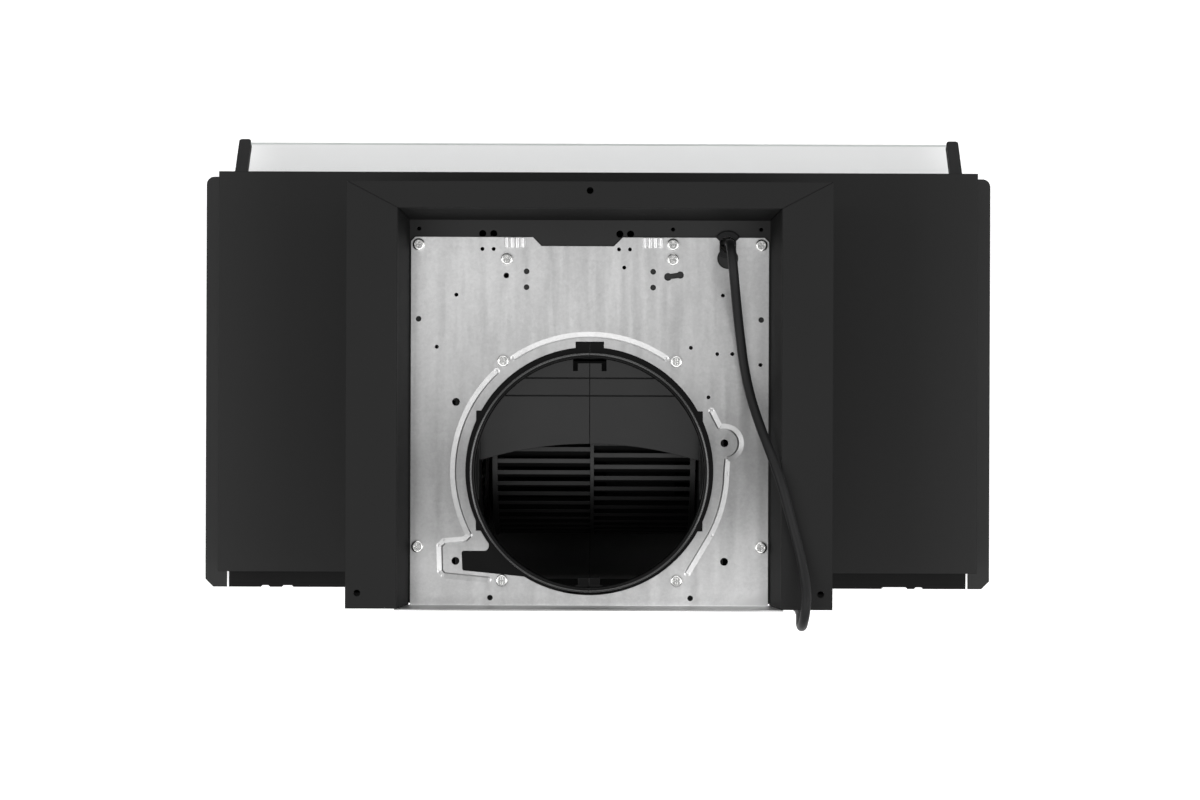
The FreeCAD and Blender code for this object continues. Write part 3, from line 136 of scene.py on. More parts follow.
class Finish(Graph):
    """A material: a graph that ends in a principled shader, with the patterns that feed it."""

    def __init__(self, name):
        self.material = bpy.data.materials.new(name)
        self.material.use_nodes = True
        super().__init__(self.material.node_tree)
        self.shader = self.tree.nodes["Principled BSDF"]

    def set(self, **sockets):
        """Feed the shader's own sockets by name, where an underscore stands for a space."""
        for key, value in sockets.items():
            self.feed(self.shader.inputs[key.replace("_", " ")], value)

    def noise(self, scale, detail, rough=0.5, where=None):
        """Cloudy noise from 0 to 1, with about as many patches per metre as the scale says."""
        sockets = {"Scale": scale, "Detail": detail, "Roughness": rough}
        sockets["Vector"] = where or self.coordinates["Object"]
        return self.add("ShaderNodeTexNoise", sockets).outputs["Fac"]

    def streaks(self, scale, detail, rough=0.5, turn=(0.0, 0.0, 0.0)):
        """Noise drawn out into lines, with a scale for each axis and a turn."""
        sockets = {"Vector": self.coordinates["Object"], "Scale": scale, "Rotation": turn}
        mapping = self.add("ShaderNodeMapping", sockets)
        return self.noise(1.0, detail, rough, where=mapping.outputs["Vector"])

    def cells(self, scale):
        """Crystal-like cells, each with a colour of its own."""
        sockets = {"Scale": scale, "Vector": self.coordinates["Object"]}
        return self.add("ShaderNodeTexVoronoi", sockets).outputs["Color"]

    def ramp(self, pattern, stops, easing="LINEAR"):
        """Colour ramp: each stop is a position and a grey or a colour."""
        node = self.add("ShaderNodeValToRGB", {"Fac": pattern})
        elements = node.color_ramp.elements
        node.color_ramp.interpolation = easing
        while len(elements) < len(stops):
            elements.new(RAMP_MIDDLE)
        for element, (position, tone) in zip(elements, stops):
            element.position = position
            element.color = (*as_colour(tone), 1.0)
        return node.outputs["Color"]

    def swing(self, pattern, share, low=0.3, high=0.7):
        """Factor near one: 1 less the share where the pattern is low, 1 plus the share where it is high."""
        return self.ramp(pattern, [(low, 1.0 - share), (high, 1.0 + share)])

    def soft_edges(self, radius):
        """Shading normal that rounds every edge by a radius in metres and leaves the mesh alone."""
        return self.add("ShaderNodeBevel", {"Radius": radius}, samples=EDGE_SAMPLES).outputs["Normal"]

    def bump(self, pattern, depth, strength, edge):
        """Shading normal of a pattern that is raised by a depth, on top of edges rounded by a radius."""
        sockets = {"Height": pattern, "Distance": depth, "Strength": strength}
        sockets["Normal"] = self.soft_edges(edge)
        return self.add("ShaderNodeBump", sockets).outputs["Normal"]


def dress(material, *names):
    """Give a finish to solids by their node names."""
    for name in names:
        slots = nodes[name].data.materials
        slots.clear()
        slots.append(material)
    print(material.name, "on", len(names), "solids")


# %% [markdown]
# ## Black powder coat
# The canopy, the rails, the pan and the motor box are folded steel sheet with a black satin coat.
# Powder coat is never one flat black: it has a fine orange-peel skin, slightly duller patches where
# hands and packing rubbed it, and a thin bright line at every fold. Real bevels would make that line
# too, but they would change the solids, so the folds are rounded in the shading normals only. A broad
# noise drives the tone and the roughness, and a fine one the bump.

# %% Powder coat
CLOUDS = 9.0
CLOUD_SWING = 0.1
RUBBED = 0.05
PEEL = 900.0
PEEL_DEPTH = 0.00012
PEEL_STRENGTH = 0.35
FOLD_RADIUS = 0.0012


def powder_coat(name, tone, rough, gloss, light_and_shade_by_place=None):
    """Satin black: cloudy tone, roughness, orange-peel bump, soft folds; painted light and shade by place.
    """
    g = Finish(name)
    cloud = g.noise(CLOUDS, detail=4.0)
    skin = g.times(g.swing(cloud, CLOUD_SWING), tone)
    if light_and_shade_by_place is not None:
        skin = light_and_shade_by_place(g, skin)
    peel = g.noise(PEEL, detail=2.0)
    g.set(Base_Color=skin, Specular_IOR_Level=gloss,
          Roughness=g.ramp(cloud, [(0.3, rough), (0.75, rough + RUBBED)]),
          Normal=g.bump(peel, PEEL_DEPTH, PEEL_STRENGTH, FOLD_RADIUS))
    return g.material


dress(powder_coat("pan_black", tone=0.0040, rough=0.5, gloss=0.12), "bottom_pan")
dress(powder_coat("rail_black", tone=0.0178, rough=0.5, gloss=0.25), "side_rail_left", "side_rail_right")
dress(powder_coat("deck_black", tone=0.0200, rough=0.6, gloss=0.2),
      "deck_plate", "terminal_box", "terminal_cover", "motor_bracket")

# %% [markdown]
# ## Painted light and shade on two coats
# The lid of the canopy is painted paler towards both ends, as painted light, and the walls of the motor
# box are painted darker than its rim, as painted shade. More lamps could do that, but they would light
# everything else too. The object's own X and Z know where the ends and the rim are, so a small function
# for each changes the tone on the way to the shader.

# %% Lid and motor box
LID_ENDS = (0.23, 0.285)
LID_END_PAINTED_LIGHT = 1.8
RIM_UNDER = 0.2485
WALL_FADE = 0.004
WALL_PAINTED_SHADE = 0.45


def painted_light_at_ends(g, skin):
    """Painted light: the tone rises towards both ends, by the distance from the middle along X."""
    out = g.span(g.math("ABSOLUTE", g.axis("X")), *LID_ENDS)
    return g.mix(out, skin, g.times(skin, LID_END_PAINTED_LIGHT))


def painted_shade_on_walls(g, skin):
    """Painted shade: full tone on the rim, and a share of it on all that is lower than the rim's underside.
    """
    rise = g.span(g.axis("Z"), RIM_UNDER - WALL_FADE, RIM_UNDER)
    return g.times(skin, g.ramp(rise, [(0.0, WALL_PAINTED_SHADE), (1.0, 1.0)]))


dress(powder_coat("canopy_black", tone=0.0055, rough=0.5, gloss=0.22, light_and_shade_by_place=painted_light_at_ends),
      "canopy_shell", "front_panel")
dress(powder_coat("motor_box_black", tone=0.0118, rough=0.7, gloss=0.16, light_and_shade_by_place=painted_shade_on_walls),
      "box_side_left", "box_side_right", "box_front", "box_rear")

# %% [markdown]
# ## Painted light and shade on the outlet plate
# The outlet plate is bare galvanised steel, and it is far from even, mostly because of how light falls
# on it; that light and shade is painted into its tone. From front to rear it goes from mid grey through
# a broad dull band beside the outlet, a painted dark reflection, to a bright rear edge, painted light.
# Its two side edges are painted paler, there is one soft dark patch of painted shade, and the fold that
# stands up along the wall is painted darker as shade. One could paint this as a mask, but each part
# depends on one distance only, so each is a ramp over a coordinate and gives a factor.

# %% Painted light and shade by place
# The band's stops are painted: a dull painted reflection beside the outlet, and painted light towards the
# rear edge.
BAND_START, BAND_END = -0.075, 0.171
BAND_STOPS = [(0.000, 0.662), (0.081, 0.640), (0.167, 0.597), (0.252, 0.544),
              (0.337, 0.494), (0.407, 0.425), (0.476, 0.375), (0.549, 0.294),
              (0.610, 0.294), (0.691, 0.312), (0.772, 0.356), (0.833, 0.475),
              (0.902, 0.531), (0.945, 0.656), (0.980, 0.825), (1.000, 1.000)]
BAND_TILT = 0.056
# Painted shade: one soft dark patch on the plate near the lead.
SHADE_PATCH_PLACE = (-0.105, -0.040, 0.214)
SHADE_PATCH_REACH = 0.075
SHADE_PATCH_TONE = 0.84
# Painted light: the plate's side edges are made paler, against the shade of the recess walls.
SIDE_MIDDLE = 0.0055
SIDE_EDGES = (0.100, 0.122)
SIDE_PAINTED_LIGHT = 1.3
# Painted shade: the fold that stands up along the wall is made darker.
FOLD_HEIGHT = (0.2165, 0.2195)
FOLD_PAINTED_SHADE = 0.45


def plate_painted_light_and_shade(g):
    """Painted light and shade by place: band along a slightly tilted Y, dark patch, rear fold, side edges.
    """
    along = g.math("SUBTRACT", g.axis("Y"), g.math("MULTIPLY", g.axis("X"), BAND_TILT))
    away = g.add("ShaderNodeVectorMath", {0: g.coordinates["Object"], 1: SHADE_PATCH_PLACE}, operation="DISTANCE")
    aside = g.math("ABSOLUTE", g.math("SUBTRACT", g.axis("X"), SIDE_MIDDLE))
    band = g.ramp(g.span(along, BAND_START, BAND_END), BAND_STOPS, "B_SPLINE")
    shade_patch = g.ramp(g.span(away.outputs["Value"], 0.0, SHADE_PATCH_REACH), [(0.0, SHADE_PATCH_TONE), (1.0, 1.0)], "EASE")
    fold = g.ramp(g.span(g.axis("Z"), *FOLD_HEIGHT), [(0.0, 1.0), (1.0, FOLD_PAINTED_SHADE)])
    sides = g.ramp(g.span(aside, *SIDE_EDGES), [(0.0, 1.0), (1.0, SIDE_PAINTED_LIGHT)])
    return [band, shade_patch, fold, sides]


print("band of", len(BAND_STOPS), "stops over", round(BAND_END - BAND_START, 3), "m")

# %% [markdown]
# ## Galvanised sheet
# Rolling leaves faint streaks along the sheet, and the zinc has a fine grain and weak crystal patches.
# Streaks come from a noise that is drawn out along Y, the grain from a fine noise and the crystals from
# Voronoi cells. Each is a factor near one, so that any of them can be turned up or down alone, and all
# are multiplied with the painted light and shade by place. A limit keeps the painted bright edge from
# reflecting more light than it gets.

# %% Galvanised plate
ZINC_TONE = 0.968
ZINC_LIMIT = 0.95
ZINC_METALLIC = 0.92
STREAKS = (150.0, 13.0, 13.0)
STREAK_TURN = (0.0, 0.0, 0.05)
STREAK_SWING = 0.035
ZINC_GRAIN = 420.0
GRAIN_SWING = 0.06
GRAIN_DEPTH = 0.00002
GRAIN_STRENGTH = 0.3
CRYSTALS = 230.0
CRYSTAL_SWING = 0.04
METAL_EDGE = 0.0003


def galvanised(name):
    """Metal tone: streaks, grain and crystals as factors near one, times the painted light and shade."""
    g = Finish(name)
    streak = g.streaks(STREAKS, detail=4.0, rough=0.55, turn=STREAK_TURN)
    grain = g.noise(ZINC_GRAIN, detail=4.0, rough=0.65)
    crystal = g.swing(g.cells(CRYSTALS), CRYSTAL_SWING, low=0.0, high=1.0)
    tone = g.times(g.swing(streak, STREAK_SWING, low=0.25, high=0.75), ZINC_TONE)
    for factor in (g.swing(grain, GRAIN_SWING), crystal, *plate_painted_light_and_shade(g)):
        tone = g.times(tone, factor)
    g.set(Base_Color=g.mix(1.0, tone, ZINC_LIMIT, "DARKEN"), Metallic=ZINC_METALLIC,
          Roughness=g.ramp(streak, [(0.3, 0.34), (0.7, 0.42)]),
          Normal=g.bump(grain, GRAIN_DEPTH, GRAIN_STRENGTH, METAL_EDGE))
    return g.material


dress(galvanised("galvanised_sheet"), "top_plate", "capacitor_clip")

# %% [markdown]
# ## Bright fasteners and plain metals
# Zinc-plated screws are among the brightest spots of the picture: pale and smooth. The metals of the
# motor and the filters are duller. A plain metallic colour would look like a drawing, so one function
# makes them all with fine lines in tone and roughness, which run across the axis that the brush names
# with its highest number.

# %% Plain metals
METAL_WEAR = 0.12
POLISHED, SCRATCHED = 0.8, 1.25
LINES_ACROSS_Z = (60.0, 60.0, 900.0)
LINES_ACROSS_Y = (40.0, 1200.0, 40.0)


def metal(name, colour, rough, brush=LINES_ACROSS_Z):
    """Brushed or plated metal: fine lines in tone and roughness, and softened edges."""
    g = Finish(name)
    lines = g.streaks(brush, detail=3.0)
    g.set(Base_Color=g.times(g.swing(lines, METAL_WEAR), colour), Metallic=1.0,
          Roughness=g.ramp(lines, [(0.3, rough * POLISHED), (0.7, rough * SCRATCHED)]),
          Normal=g.soft_edges(METAL_EDGE))
    return g.material


dress(metal("zinc_screw", colour=(0.80, 0.80, 0.79), rough=0.24),
      "rail_screws", "plate_screws", "blower_screws", "tab_screws", "wheel_nut", "visor_pins")
dress(metal("motor_steel", colour=(0.36, 0.36, 0.37), rough=0.42),
      "motor_shaft", "motor_rotor", "motor_stator", "motor_bearings")
dress(metal("brass_pins", colour=(0.74, 0.56, 0.27), rough=0.25), "plug_pins")
filter_metal = metal("filter_aluminium", colour=(0.74, 0.74, 0.75), rough=0.34, brush=LINES_ACROSS_Y)
dress(filter_metal, "filter_frame_left", "filter_frame_right")

# %% [markdown]
# ## Moulded plastics
# Buttons, visor arms, brackets, motor covers and lamp rings are moulded, with a fine spark-eroded grain
# that the steel mould leaves on them. The grain could be modelled, but at a millimetre and less a bump
# looks the same and costs nothing. A slow drift in tone and roughness keeps large faces from looking
# printed.

# %% Plastics
DRIFT = 24.0
DRIFT_SWING = 0.12
DRIFT_DULLING = 1.2
MOULD_GRAIN = 700.0
MOULD_DEPTH = 0.00008
MOULD_STRENGTH = 0.5
MOULD_EDGE = 0.0004
SHEEN_SPREAD = 0.25


def moulded(name, colour, rough, gloss=0.5, grain=MOULD_GRAIN, depth=MOULD_DEPTH, sheen=0.0):
    """Moulded plastic or rubber: grain as a bump, a drift in tone and roughness, and a sheen if asked."""
    g = Finish(name)
    drift = g.noise(DRIFT, detail=2.0)
    g.set(Base_Color=g.times(g.swing(drift, DRIFT_SWING), colour),
          Roughness=g.ramp(drift, [(0.3, rough), (0.7, rough * DRIFT_DULLING)]),
          Normal=g.bump(g.noise(grain, detail=2.0), depth, MOULD_STRENGTH, MOULD_EDGE),
          Specular_IOR_Level=gloss, Sheen_Weight=sheen, Sheen_Roughness=SHEEN_SPREAD)
    return g.material


dress(moulded("motor_black", (0.006, 0.006, 0.006), rough=0.5, gloss=0.2), "motor_can", "motor_cap")
dress(moulded("trim_black", (0.0065, 0.0065, 0.0068), rough=0.5, gloss=0.18),
      "visor_arm_left", "visor_arm_right", "visor_bracket_left", "visor_bracket_right",
      "control_bezel", "filter_latch_left", "filter_latch_right")
dress(moulded("button_grey", (0.10, 0.10, 0.105), rough=0.34), *["push_button_%d" % i for i in range(1, 6)])
dress(moulded("capacitor_white", (0.72, 0.72, 0.70), rough=0.4), "run_capacitor")
dress(moulded("terminal_white", (0.78, 0.78, 0.75), rough=0.45), "terminal_block")
dress(moulded("board_green", (0.015, 0.11, 0.05), rough=0.3), "control_board")
dress(moulded("lamp_trim", (0.52, 0.52, 0.53), rough=0.3), "lamp_ring_left", "lamp_ring_right")

# %% [markdown]
# ## Blower housing
# The blower sits in two dark moulded halves. The scroll below is dull, the shelf round the throat is
# smoother, the flange above it is nearly black and glossy, and the lip of the outlet ring shines. The
# zones' tones are painted light and shade on one plastic: the shelf and the flange are painted darker,
# and the lip is painted paler under its highlight.
# Cutting the halves into four pieces would give each its own material, but the zones lie one above the
# other, so a ramp over the height that jumps from stop to stop gives each zone its tone, roughness and
# gloss on the same piece.

# %% Housing
HOUSING_LOW, HOUSING_HIGH = 0.130, 0.220
HOUSING_STRENGTH = 0.4
HOUSING_DEPTH = 0.00004
# Each zone: the height where it starts, its tone with painted light and shade, its roughness and its gloss.
HOUSING_ZONES = {"scroll": (0.130, 0.0500, 0.40, 0.30),
                 "shelf": (0.148, 0.0095, 0.22, 0.14),
                 "flange": (0.20902, 0.0035, 0.14, 0.22),
                 "ring_lip": (0.219145, 0.0140, 0.13, 1.00)}


def zone_stops(column):
    """Ramp stops of one column of the zones: share of the height on the way up, and the value there."""
    tall = HOUSING_HIGH - HOUSING_LOW
    return [((zone[0] - HOUSING_LOW) / tall, zone[column]) for zone in HOUSING_ZONES.values()]


def housing(name):
    """Dark plastic: tone with painted light and shade, roughness and gloss jump from zone to zone with
    height.
    """
    g = Finish(name)
    where = g.span(g.axis("Z"), HOUSING_LOW, HOUSING_HIGH)
    tone, rough, gloss = (g.ramp(where, zone_stops(column), "CONSTANT") for column in (1, 2, 3))
    drift = g.swing(g.noise(DRIFT, detail=2.0), DRIFT_SWING)
    grain = g.noise(MOULD_GRAIN, detail=2.0)
    g.set(Base_Color=g.times(tone, drift), Roughness=rough, Specular_IOR_Level=gloss,
          Normal=g.bump(grain, HOUSING_DEPTH, HOUSING_STRENGTH, MOULD_EDGE))
    return g.material


print("housing zones", *HOUSING_ZONES)
dress(housing("housing_plastic"), "blower_half_left", "blower_half_right")

# %% [markdown]
# ## Blower wheel with dust and painted light
# Through the outlet one looks down on the blades of the wheel. They are dull black, and paler where a
# blade faces up: partly fine grey dust, partly painted light from above. A mask could be painted blade
# by blade, but the normal's Z already tells how far each spot faces up, so the tone follows it by a ramp.

# %% Wheel
DUST_AND_TOP_LIGHT_STOPS = [(0.72, 0.0040), (0.82, 0.0070), (0.90, 0.0130), (0.95, 0.0215), (0.985, 0.0300)]
DUST_CLOUDS = 60.0
DUST_SWING = 0.1


def dusty_and_top_lit(name, rough, gloss):
    """Dull black, paler on all that faces up with dust and painted light: the tone follows the normal's Z.
    """
    g = Finish(name)
    facing_up = g.axis("Z", g.add("ShaderNodeNewGeometry").outputs["Normal"])
    clouds = g.swing(g.noise(DUST_CLOUDS, detail=3.0), DUST_SWING)
    g.set(Base_Color=g.times(g.ramp(facing_up, DUST_AND_TOP_LIGHT_STOPS), clouds), Roughness=rough,
          Specular_IOR_Level=gloss, Normal=g.soft_edges(METAL_EDGE))
    return g.material


dress(dusty_and_top_lit("wheel_plastic", rough=0.45, gloss=0.15), "blower_wheel")

# %% [markdown]
# ## Glass
# The visor is a clear strip of float glass. From above it reads as a pale grey band, because the light
# crosses two faces and a little iron in the glass takes some of it. The tint is set on the shader, and
# faint smears in the roughness keep the strip from looking like empty air. The lamp lenses are the same
# glass, frosted. The strip's ground edges are bright lines, as light runs along inside the glass and
# leaves there. Tracing that takes a great many rays, so the edges, which are all that doesn't face the
# way the strip leans, are made pale with a weak glow.

# %% Glass finishes
GLASS_IOR = 1.46
SMEARS = (48.0, 224.0, 224.0)
SMEAR_ROUGH = 0.03
VISOR_LEAN = 40.0
BROAD_FACING = 0.5
EDGE_TINT = (0.95, 1.0, 0.98)
EDGE_GLOW = 0.38


def glass(name, tint, rough):
    """Clear or frosted glass with faint smears, handed back as a graph that can still be added to."""
    g = Finish(name)
    smear = g.streaks(SMEARS, detail=3.0)
    g.set(Base_Color=tint, Transmission_Weight=1.0, IOR=GLASS_IOR,
          Roughness=g.ramp(smear, [(0.35, rough), (0.8, rough + SMEAR_ROUGH)]))
    return g


def ground_edges(g, lean):
    """Clear where the normal lies along the strip's own, which leans by some degrees; else a glow."""
    upright = (0.0, -math.sin(math.radians(lean)), math.cos(math.radians(lean)))
    sockets = {0: g.coordinates["Normal"], 1: upright}
    facing = g.add("ShaderNodeVectorMath", sockets, operation="DOT_PRODUCT")
    broad = g.math("GREATER_THAN", g.math("ABSOLUTE", facing.outputs["Value"]), BROAD_FACING)
    glow = g.math("MULTIPLY", g.math("SUBTRACT", 1.0, broad), EDGE_GLOW)
    g.set(Transmission_Weight=broad, Emission_Color=EDGE_TINT, Emission_Strength=glow)


visor = glass("visor_glass_clear", tint=(0.745, 0.75, 0.75), rough=0.01)
ground_edges(visor, VISOR_LEAN)
dress(visor.material, "visor_glass")
lens = glass("lamp_frost", tint=(0.96, 0.96, 0.94), rough=0.35)
dress(lens.material, "lamp_lens_left", "lamp_lens_right")

# %% [markdown]
# ## Mains lead
# The lead is round three-core flex in black rubber, whose matt skin catches a little light at a grazing
# angle, so it gets a weak sheen. It comes straight up through the grommet, turns over, lies on the
# plate, climbs the leaning wall of the recess and crosses the rim. Behind the box it hangs to the
# ground, where its plug lies. A swept mesh would do, but a NURBS curve of order three over the same
# points as the solid gives one smooth run with a round bevel, and a point can be moved by hand later.

# %% Lead
LEAD_POINTS = [
    (-90.2, -81.0, 208.0), (-90.2, -81.0, 223.0), (-91.2, -71.2, 233.0), (-92.5, -57.0, 232.6),
    (-94.7, -39.0, 224.0), (-97.2, -20.0, 218.2), (-99.9, 2.0, 218.4), (-104.0, 23.0, 222.5),
    (-109.8, 43.0, 234.5), (-116.5, 62.0, 248.0), (-123.5, 82.0, 255.6), (-129.6, 105.0, 254.4),
    (-136.2, 129.0, 254.6), (-139.8, 150.0, 259.2), (-140.0, 160.7, 262.6), (-139.2, 170.4, 260.4),
    (-138.4, 176.9, 254.1), (-138.4, 179.9, 243.5), (-139.4, 180.6, 223.5), (-142.0, 180.4, 190.0),
    (-146.0, 179.8, 140.0), (-147.5, 179.0, 95.0), (-143.0, 178.2, 55.0), (-128.0, 177.6, 24.0),
    (-105.0, 177.0, 7.4), (-79.0, 176.5, 4.0), (-46.0, 175.6, 4.3), (-14.0, 175.0, 4.0),
    (6.0, 174.9, 6.2), (28.0, 174.8, 12.0), (48.0, 174.8, 12.0)
]
LEAD_RADIUS = 0.0033
MM = 0.001
lead_rubber = moulded("lead_rubber", (0.0075, 0.0075, 0.0078), rough=0.5, gloss=0.2, grain=420.0,
                      depth=0.00012, sheen=0.12)
dress(lead_rubber, "cord_grommet", "plug_body")


def round_lead(name, points, radius, material):
    """Open NURBS curve of order three with a round bevel; points in millimetres."""
    curve = bpy.data.curves.new(name, "CURVE")
    curve.dimensions = "3D"
    curve.bevel_depth = radius
    curve.bevel_resolution = 5
    curve.use_fill_caps = True
    spline = curve.splines.new("NURBS")
    spline.points.add(len(points) - 1)
    flat = np.ones((len(points), 4))
    flat[:, :3] = np.array(points) * MM
    spline.points.foreach_set("co", flat.ravel())
    spline.order_u = 3
    spline.use_endpoint_u = True
    spline.resolution_u = 10
    curve.materials.append(material)
    piece = bpy.data.objects.new(name, curve)
    bpy.context.scene.collection.objects.link(piece)
    return piece


lead = round_lead("mains_lead", LEAD_POINTS, LEAD_RADIUS, lead_rubber)
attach(lead, "hood")
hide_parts("power_cord")
print("lead points", len(LEAD_POINTS))

# %% [markdown]
# ## Putting a worked-out surface into a mesh
# The filter packs are surfaces worked out as whole arrays. Points could be added one by one with bmesh,
# but there are many thousands. A grid of rows and columns knows its quads by counting, so they are
# sliced out of one array of indices and handed to the mesh in one go.


# %% Grid to mesh
def grid_faces(rows, columns):
    """Quads between neighbouring rows and columns of a grid of points."""
    index = np.arange(rows * columns).reshape(rows, columns)
    corners = [index[:-1, :-1], index[:-1, 1:], index[1:, 1:], index[1:, :-1]]
    return np.stack(corners, axis=-1).reshape(-1, 4)


def border(rows, columns):
    """Indices of a grid's outer points, once round."""
    index = np.arange(rows * columns).reshape(rows, columns)
    return np.concatenate([index[0, :-1], index[:-1, -1], index[-1, :0:-1], index[:0:-1, 0]])


def mesh_piece(name, points, faces, material, body):
    """New object at the origin from arrays of points and quads, riding on a body."""
    mesh = bpy.data.meshes.new(name)
    mesh.from_pydata(points.reshape(-1, 3).tolist(), [], faces.tolist())
    mesh.validate()
    mesh.polygons.foreach_set("use_smooth", np.ones(len(mesh.polygons), bool))
    mesh.materials.append(material)
    piece = bpy.data.objects.new(name, mesh)
    bpy.context.scene.collection.objects.link(piece)
    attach(piece, body)
    print(name, len(mesh.polygons), "faces")
    return piece


# %% [markdown]
# ## Grease filter mesh
# Each filter holds layers of expanded aluminium, a sheet slit and pulled into diamonds, so that strands
# cross in two directions with dark pockets between them. A strand could be modelled and copied
# thousands of times. A closed slab is lighter and looks the same from a step away: both of its faces
# are height fields of crossing waves, shifted by half a diamond against each other, and a narrow wall
# round the border joins them.

# %% Filter packs
DIAMOND_X = 0.0105
DIAMOND_Y = 0.0062
MESH_STEP = 0.0013
POCKET_FLOOR = 0.15
STRAND_POWER = 4


def relief(x, y):
    """Share of the depth: the higher of two crossing waves, to a power that widens the pockets."""
    a = np.abs(np.cos(math.pi * (x / DIAMOND_X + y / DIAMOND_Y)))
    b = np.abs(np.cos(math.pi * (x / DIAMOND_X - y / DIAMOND_Y)))
    return POCKET_FLOOR + (1.0 - POCKET_FLOOR) * np.maximum(a, b) ** STRAND_POWER


def filter_pack(side_name):
    """Closed slab in the node's box: lower and upper relief, joined by one row of quads at the border."""
    node = "filter_mesh_" + side_name
    low, high = (np.array(c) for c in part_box(node))
    columns = int((high[0] - low[0]) / MESH_STEP)
    rows = int((high[1] - low[1]) / MESH_STEP)
    across = np.linspace(low[0], high[0], columns)
    along = np.linspace(low[1], high[1], rows)
    y, x = np.meshgrid(along, across, indexing="ij")
    middle = (low[2] + high[2]) / 2
    depth = (high[2] - low[2]) / 2
    under = np.stack([x, y, middle - depth * relief(x, y)], axis=-1)
    over = np.stack([x, y, middle + depth * relief(x + DIAMOND_X / 2, y)], axis=-1)
    count = rows * columns
    top = grid_faces(rows, columns)
    ring = border(rows, columns)
    after = np.roll(ring, -1)
    wall = np.stack([ring, after, after + count, ring + count], axis=-1)
    faces = np.concatenate([top[:, ::-1], top + count, wall])
    piece = mesh_piece("filter_pack_" + side_name, np.stack([under, over]), faces, filter_metal,
                       "filter_" + side_name)
    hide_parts(node)


for side_name in ("left", "right"):
    filter_pack(side_name)

# %% [markdown]
# ## Ground
# The hood stands on a pale ground that comes out white in the picture. Stronger lamps would make it
# white too, but then black would turn grey. A glow that only the camera, mirrors and glass can see
# lifts the ground and nothing else, and as the ground is still lit by the lamps, it keeps the soft
# shadow of the hood.

# %% Pale ground
GROUND_HALF = 6.0
GROUND_DROP = 0.0002
GROUND_GREY = 0.8
GROUND_GLOW = 0.62


def seen_by(g, *rays):
    """1 for the kinds of ray that are named, and 0 for all others."""
    path = g.add("ShaderNodeLightPath").outputs
    seen = path[rays[0]]
    for ray in rays[1:]:
        seen = g.math("MAXIMUM", seen, path[ray])
    return seen


def ground():
    """Wide pale floor just under the hood, with a glow for the rays that see it."""
    g = Finish("pale_ground")
    seen = seen_by(g, "Is Camera Ray", "Is Glossy Ray", "Is Transmission Ray")
    g.set(Base_Color=GROUND_GREY, Roughness=0.9, Specular_IOR_Level=0.0, Emission_Color=1.0,
          Emission_Strength=g.math("MULTIPLY", seen, GROUND_GLOW))
    corners = np.array([[-1, -1, 0], [1, -1, 0], [1, 1, 0], [-1, 1, 0]], float) * GROUND_HALF
    mesh = bpy.data.meshes.new("ground")
    mesh.from_pydata(corners.tolist(), [], [(0, 1, 2, 3)])
    mesh.materials.append(g.material)
    floor = bpy.data.objects.new("ground", mesh)
    floor.location.z = -GROUND_DROP
    bpy.context.scene.collection.objects.link(floor)
    print("ground", 2 * GROUND_HALF, "m wide")


ground()

# %% [markdown]
# ## World
# The world is the room round the hood. A picture of a real studio could surround it, but this scene
# uses no pictures. To the camera and through glass the room is white. Mirrors see white walls under a
# dimmer ceiling, which gives the metal its darks. All other rays find a plain level, so that black
# reads as black.

# %% Studio world
ROOM_LEVEL = 0.45
CEILING_LEVEL = 0.4
CEILING_EDGE = (0.6, 0.97)


def studio_world(level, ceiling):
    """Strength by kind of ray: white when seen, walls and ceiling in mirrors, else a plain level."""
    world = bpy.data.worlds.new("studio")
    bpy.context.scene.world = world
    world.use_nodes = True
    g = Graph(world.node_tree)
    fade = {"Value": g.axis("Z", g.coordinates["Generated"]), "From Min": CEILING_EDGE[0],
            "From Max": CEILING_EDGE[1], "To Min": 1.0, "To Max": ceiling}
    room = g.add("ShaderNodeMapRange", fade, interpolation_type="SMOOTHSTEP").outputs["Result"]
    plain = g.between(seen_by(g, "Is Camera Ray", "Is Transmission Ray"), level, 1.0)
    background = world.node_tree.nodes["Background"].inputs
    g.feed(background["Color"], 1.0)
    g.feed(background["Strength"], g.between(seen_by(g, "Is Glossy Ray"), plain, room))
    print("world level", level, "ceiling", ceiling)


studio_world(ROOM_LEVEL, CEILING_LEVEL)

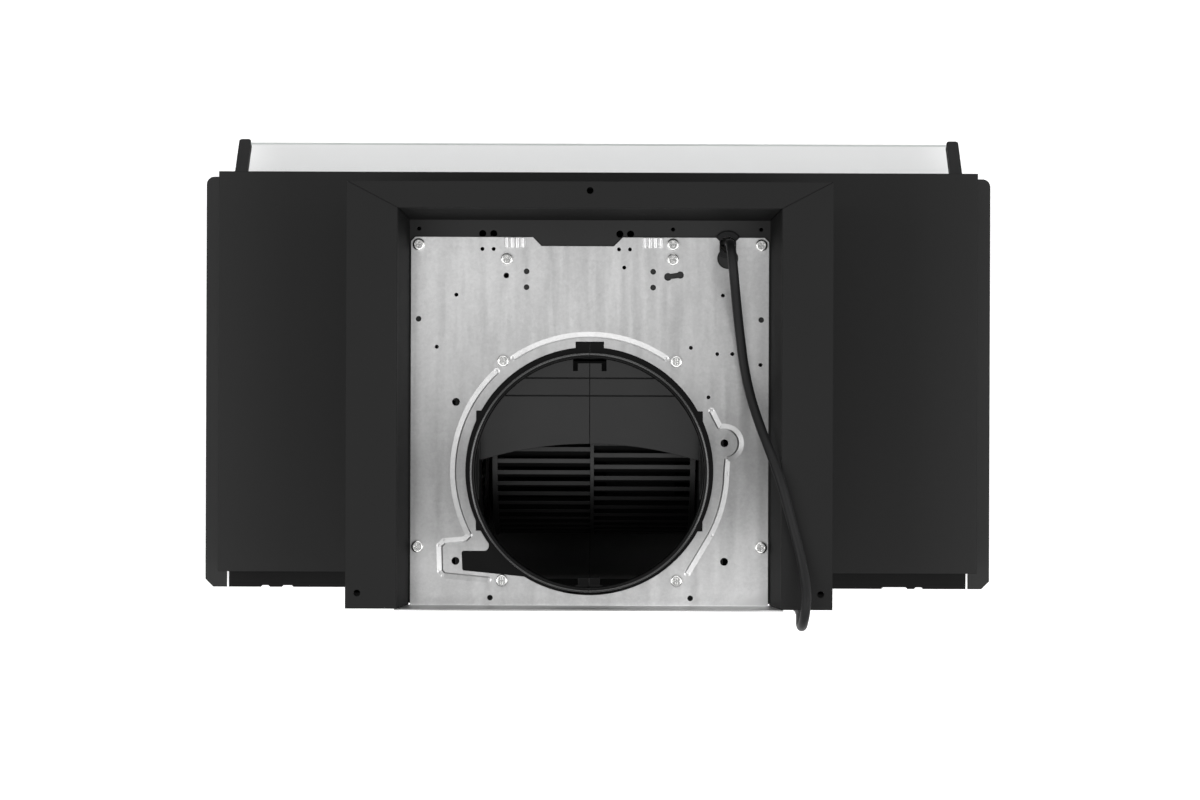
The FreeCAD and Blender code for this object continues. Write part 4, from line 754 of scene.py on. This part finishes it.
# %% [markdown]
# ## Lamps
# The light in the picture is even and soft, with no hard shadow. Two wide softboxes hang left and right
# of the camera, and two weaker ones fill from the rear and from the front. Point lamps or a sun would
# draw sharp highlights on the satin black, so all four are rectangles, each turned to face the middle
# of the hood.

# %% Softboxes
LAMP_AIM = (0.0, 0.0, 0.12)


def softbox(name, place, size, power):
    """Area lamp aimed at the hood: tipped by its flat reach over its height, then turned about Z."""
    lamp = bpy.data.lights.new(name, "AREA")
    lamp.shape = "RECTANGLE"
    lamp.size, lamp.size_y = size
    lamp.energy = power
    thing = bpy.data.objects.new(name, lamp)
    thing.location = place
    x, y, z = np.array(LAMP_AIM) - np.array(place)
    thing.rotation_euler = (math.atan2(math.hypot(x, y), -z), 0.0, math.atan2(y, x) - math.pi / 2)
    bpy.context.scene.collection.objects.link(thing)
    print(name, power, "W")


softbox("key_left", place=(1.4, 0.2, 2.1), size=(1.2, 1.6), power=21.0)
softbox("key_right", place=(-1.5, 0.3, 2.1), size=(1.2, 1.6), power=22.0)
softbox("rear_fill", place=(0.0, 1.3, 2.1), size=(1.6, 0.8), power=10.0)
softbox("front_fill", place=(0.0, -1.9, 1.6), size=(2.0, 0.8), power=8.0)

# %% [markdown]
# ## Camera
# The camera hangs over the middle of the hood and looks straight down, which is the way a camera without
# any tilt looks in Blender. Half a turn about Z brings the hood's front to the top of the picture, and a
# fifth of a degree more follows the photograph. An orthographic camera would show no upright wall at all,
# so a lens is used, from as far away as the walls in the picture ask for.

# %% Camera
CAMERA_PLACE = (-0.00165, 0.02705, 1.912)
CAMERA_TURN = math.pi + 0.0035
CAMERA_LENS = 74.13
camera = bpy.data.cameras.new("camera")
camera.lens = CAMERA_LENS
camera.sensor_width = 36.0
camera.clip_start = 0.05
camera.clip_end = 40.0
viewer = bpy.data.objects.new("camera", camera)
viewer.location = CAMERA_PLACE
viewer.rotation_euler = (0.0, 0.0, CAMERA_TURN)
bpy.context.scene.collection.objects.link(viewer)
bpy.context.scene.camera = viewer
bpy.context.scene.view_settings.view_transform = "Standard"
print("camera", CAMERA_PLACE, "lens", CAMERA_LENS)
